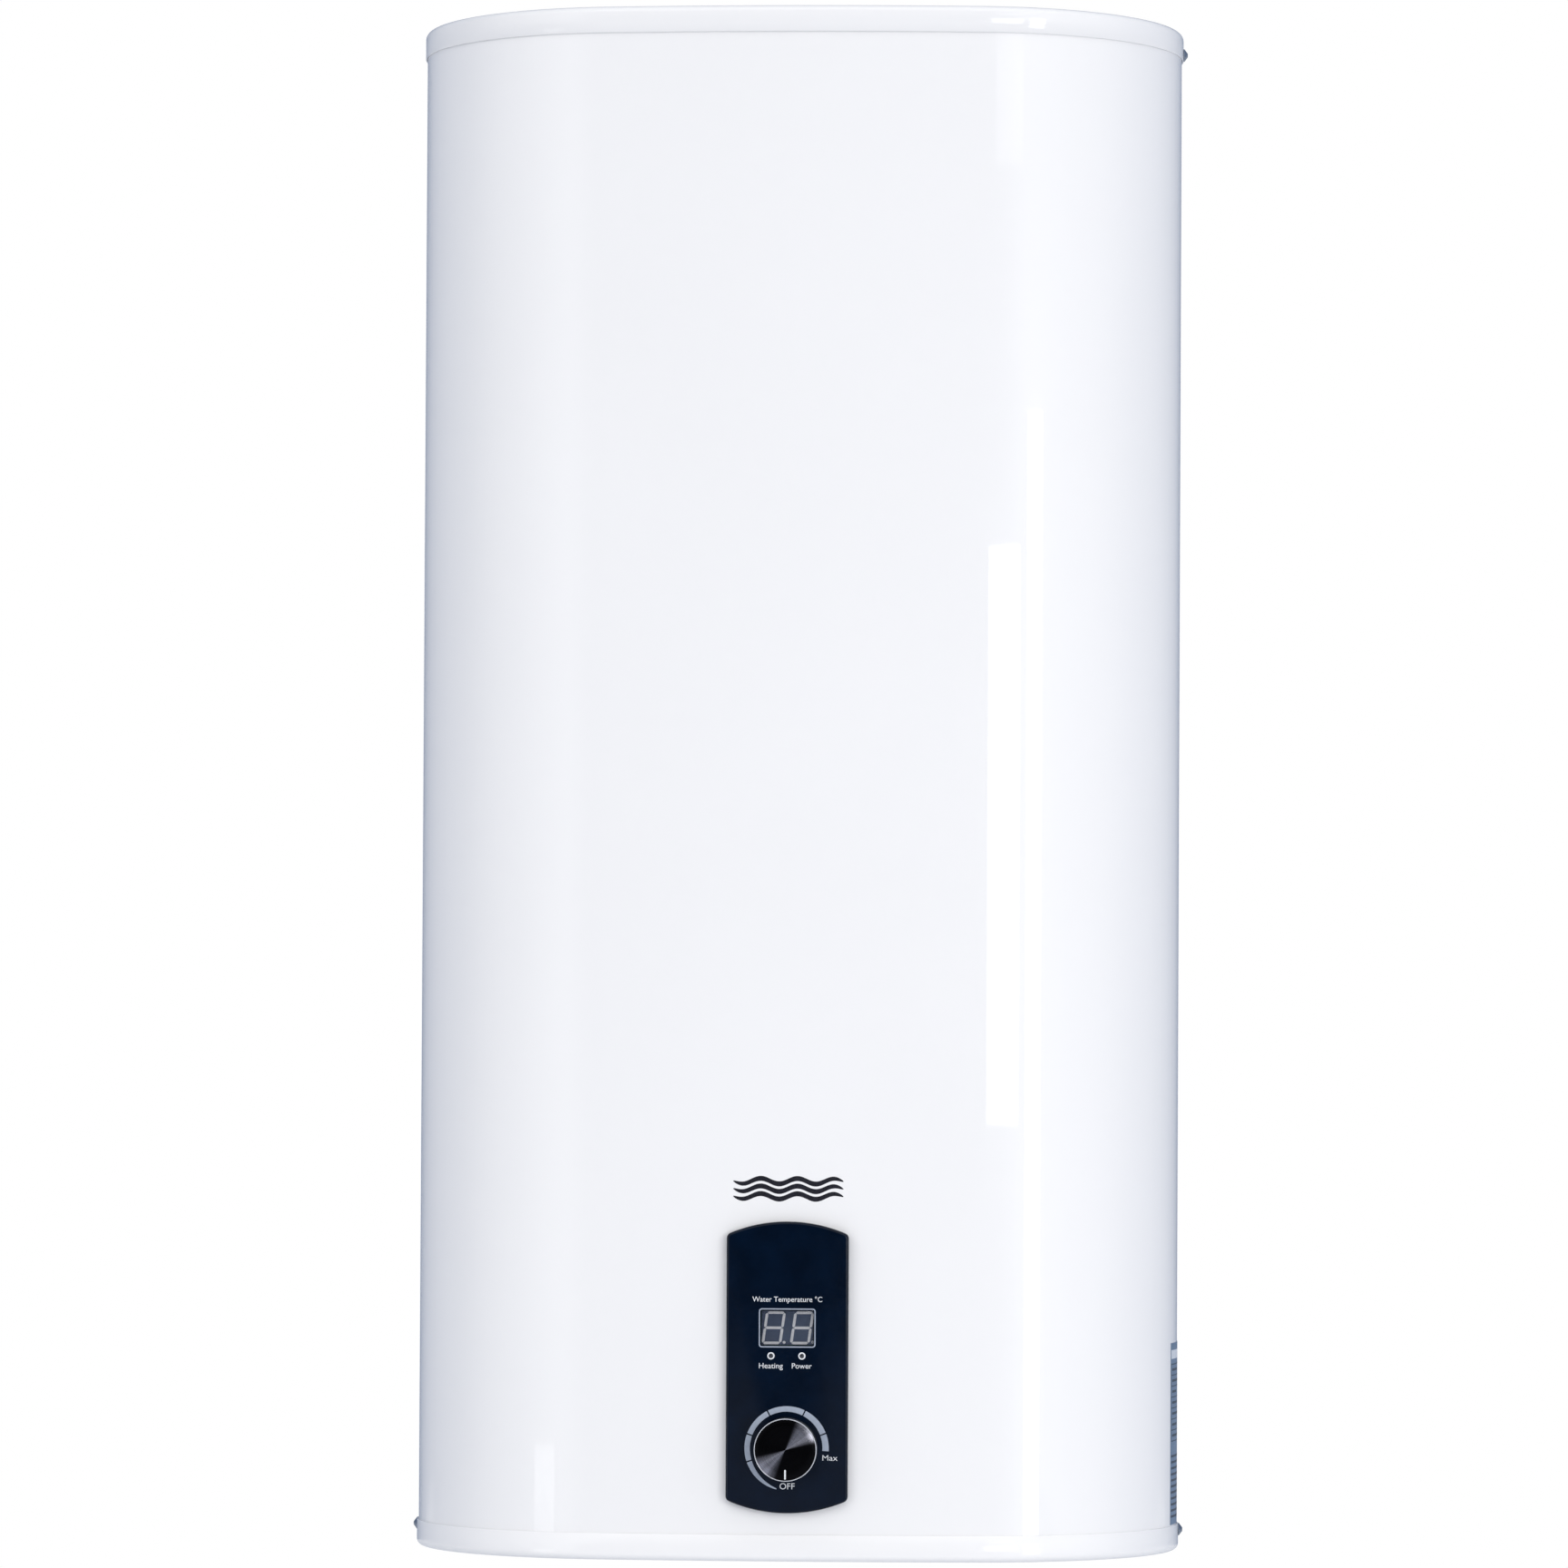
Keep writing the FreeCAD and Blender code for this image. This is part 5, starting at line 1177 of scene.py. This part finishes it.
def make_world():
    """A soft room: dark straight in front, bright around that, dimmer to the sides and behind."""
    world = bpy.data.worlds.new("studio")
    bpy.context.scene.world = world
    world.use_nodes = True
    nodes, links = world.node_tree.nodes, world.node_tree.links
    nodes.clear()
    place = add_node(nodes, "TexCoord")
    split = add_node(nodes, "SeparateXYZ")
    links.new(place.outputs["Generated"], split.inputs["Vector"])
    sky = add_node(nodes, "ValToRGB")
    sky.color_ramp.interpolation = "EASE"
    while len(sky.color_ramp.elements) < len(SKY):
        sky.color_ramp.elements.new(0.5)
    for element, (depth, colour) in zip(sky.color_ramp.elements, SKY):
        element.position = (depth + 1) / 2
        element.color = (*colour, 1)
    half = add_node(nodes, "MapRange", {"From Min": -1})
    links.new(split.outputs["Y"], half.inputs["Value"])
    links.new(half.outputs["Result"], sky.inputs["Fac"])
    light = add_node(nodes, "Background", {"Strength": 1.03})
    links.new(sky.outputs["Color"], light.inputs["Color"])
    seen = add_node(nodes, "Background", {"Color": (1, 1, 1, 1)})
    ray = add_node(nodes, "LightPath")
    choose = add_node(nodes, "MixShader")
    links.new(ray.outputs["Is Camera Ray"], choose.inputs["Fac"])
    links.new(light.outputs["Background"], choose.inputs[1])
    links.new(seen.outputs["Background"], choose.inputs[2])
    output = add_node(nodes, "OutputWorld")
    links.new(choose.outputs["Shader"], output.inputs["Surface"])


def make_lamps():
    """Soft lamps on a circle round the heater, all facing its middle."""
    distance = 3.1
    middle = Vector((0, MIDDLE_Y, (RIM + TOP_RIM) / 2))
    for name, azimuth, height, width, tall, power in LAMPS:
        data = bpy.data.lights.new(name, "AREA")
        data.shape = "RECTANGLE"
        data.size, data.size_y = width, tall
        data.energy = power
        lamp = new_object(name, data)
        lamp.visible_camera = False
        angle = math.radians(azimuth)
        place = (distance * math.sin(angle), MIDDLE_Y - distance * math.cos(angle), RIM + height)
        lamp.location = place
        lamp.rotation_mode = "QUATERNION"
        lamp.rotation_quaternion = (middle - Vector(place)).to_track_quat("-Z", "Y")


def make_floor():
    """A wide pale floor, as far below the heater as it would hang, and clear from below."""
    half = 14
    z = RIM - 1.2
    corners = [(-half, -half, z), (half, -half, z), (half, half, z), (-half, half, z)]
    mesh = new_mesh("floor", corners, [(0, 1, 2, 3)])
    floor = new_object("floor", mesh)
    material = surface("floor_pale", (0.88, 0.88, 0.88), 0.8, tone=0.01, tone_scale=1, grain=0)
    nodes, links = material.node_tree.nodes, material.node_tree.links
    side = add_node(nodes, "NewGeometry")
    clear = add_node(nodes, "BsdfTransparent")
    choose = add_node(nodes, "MixShader")
    links.new(side.outputs["Backfacing"], choose.inputs["Fac"])
    links.new(nodes["Principled BSDF"].outputs["BSDF"], choose.inputs[1])
    links.new(clear.outputs["BSDF"], choose.inputs[2])
    links.new(choose.outputs["Shader"], nodes["Material Output"].inputs["Surface"])
    mesh.materials.append(material)


# ------------------------------------------------------------------------------------------- scene

make_camera()
paint_frame()
make_shell()
make_top_cap()
make_bottom_cap()
make_service_cover()
make_cap_screws()
make_bracket_bolts()
make_pipe_ends()
make_gland()
make_panel()
make_pane()
make_display()
make_lights()
make_scale()
make_legends()
make_wave_mark()
make_knob()
make_rating_plate()
make_fill_plug()
make_world()
make_lamps()
make_floor()

scene = bpy.context.scene
scene.view_settings.view_transform = "Standard"
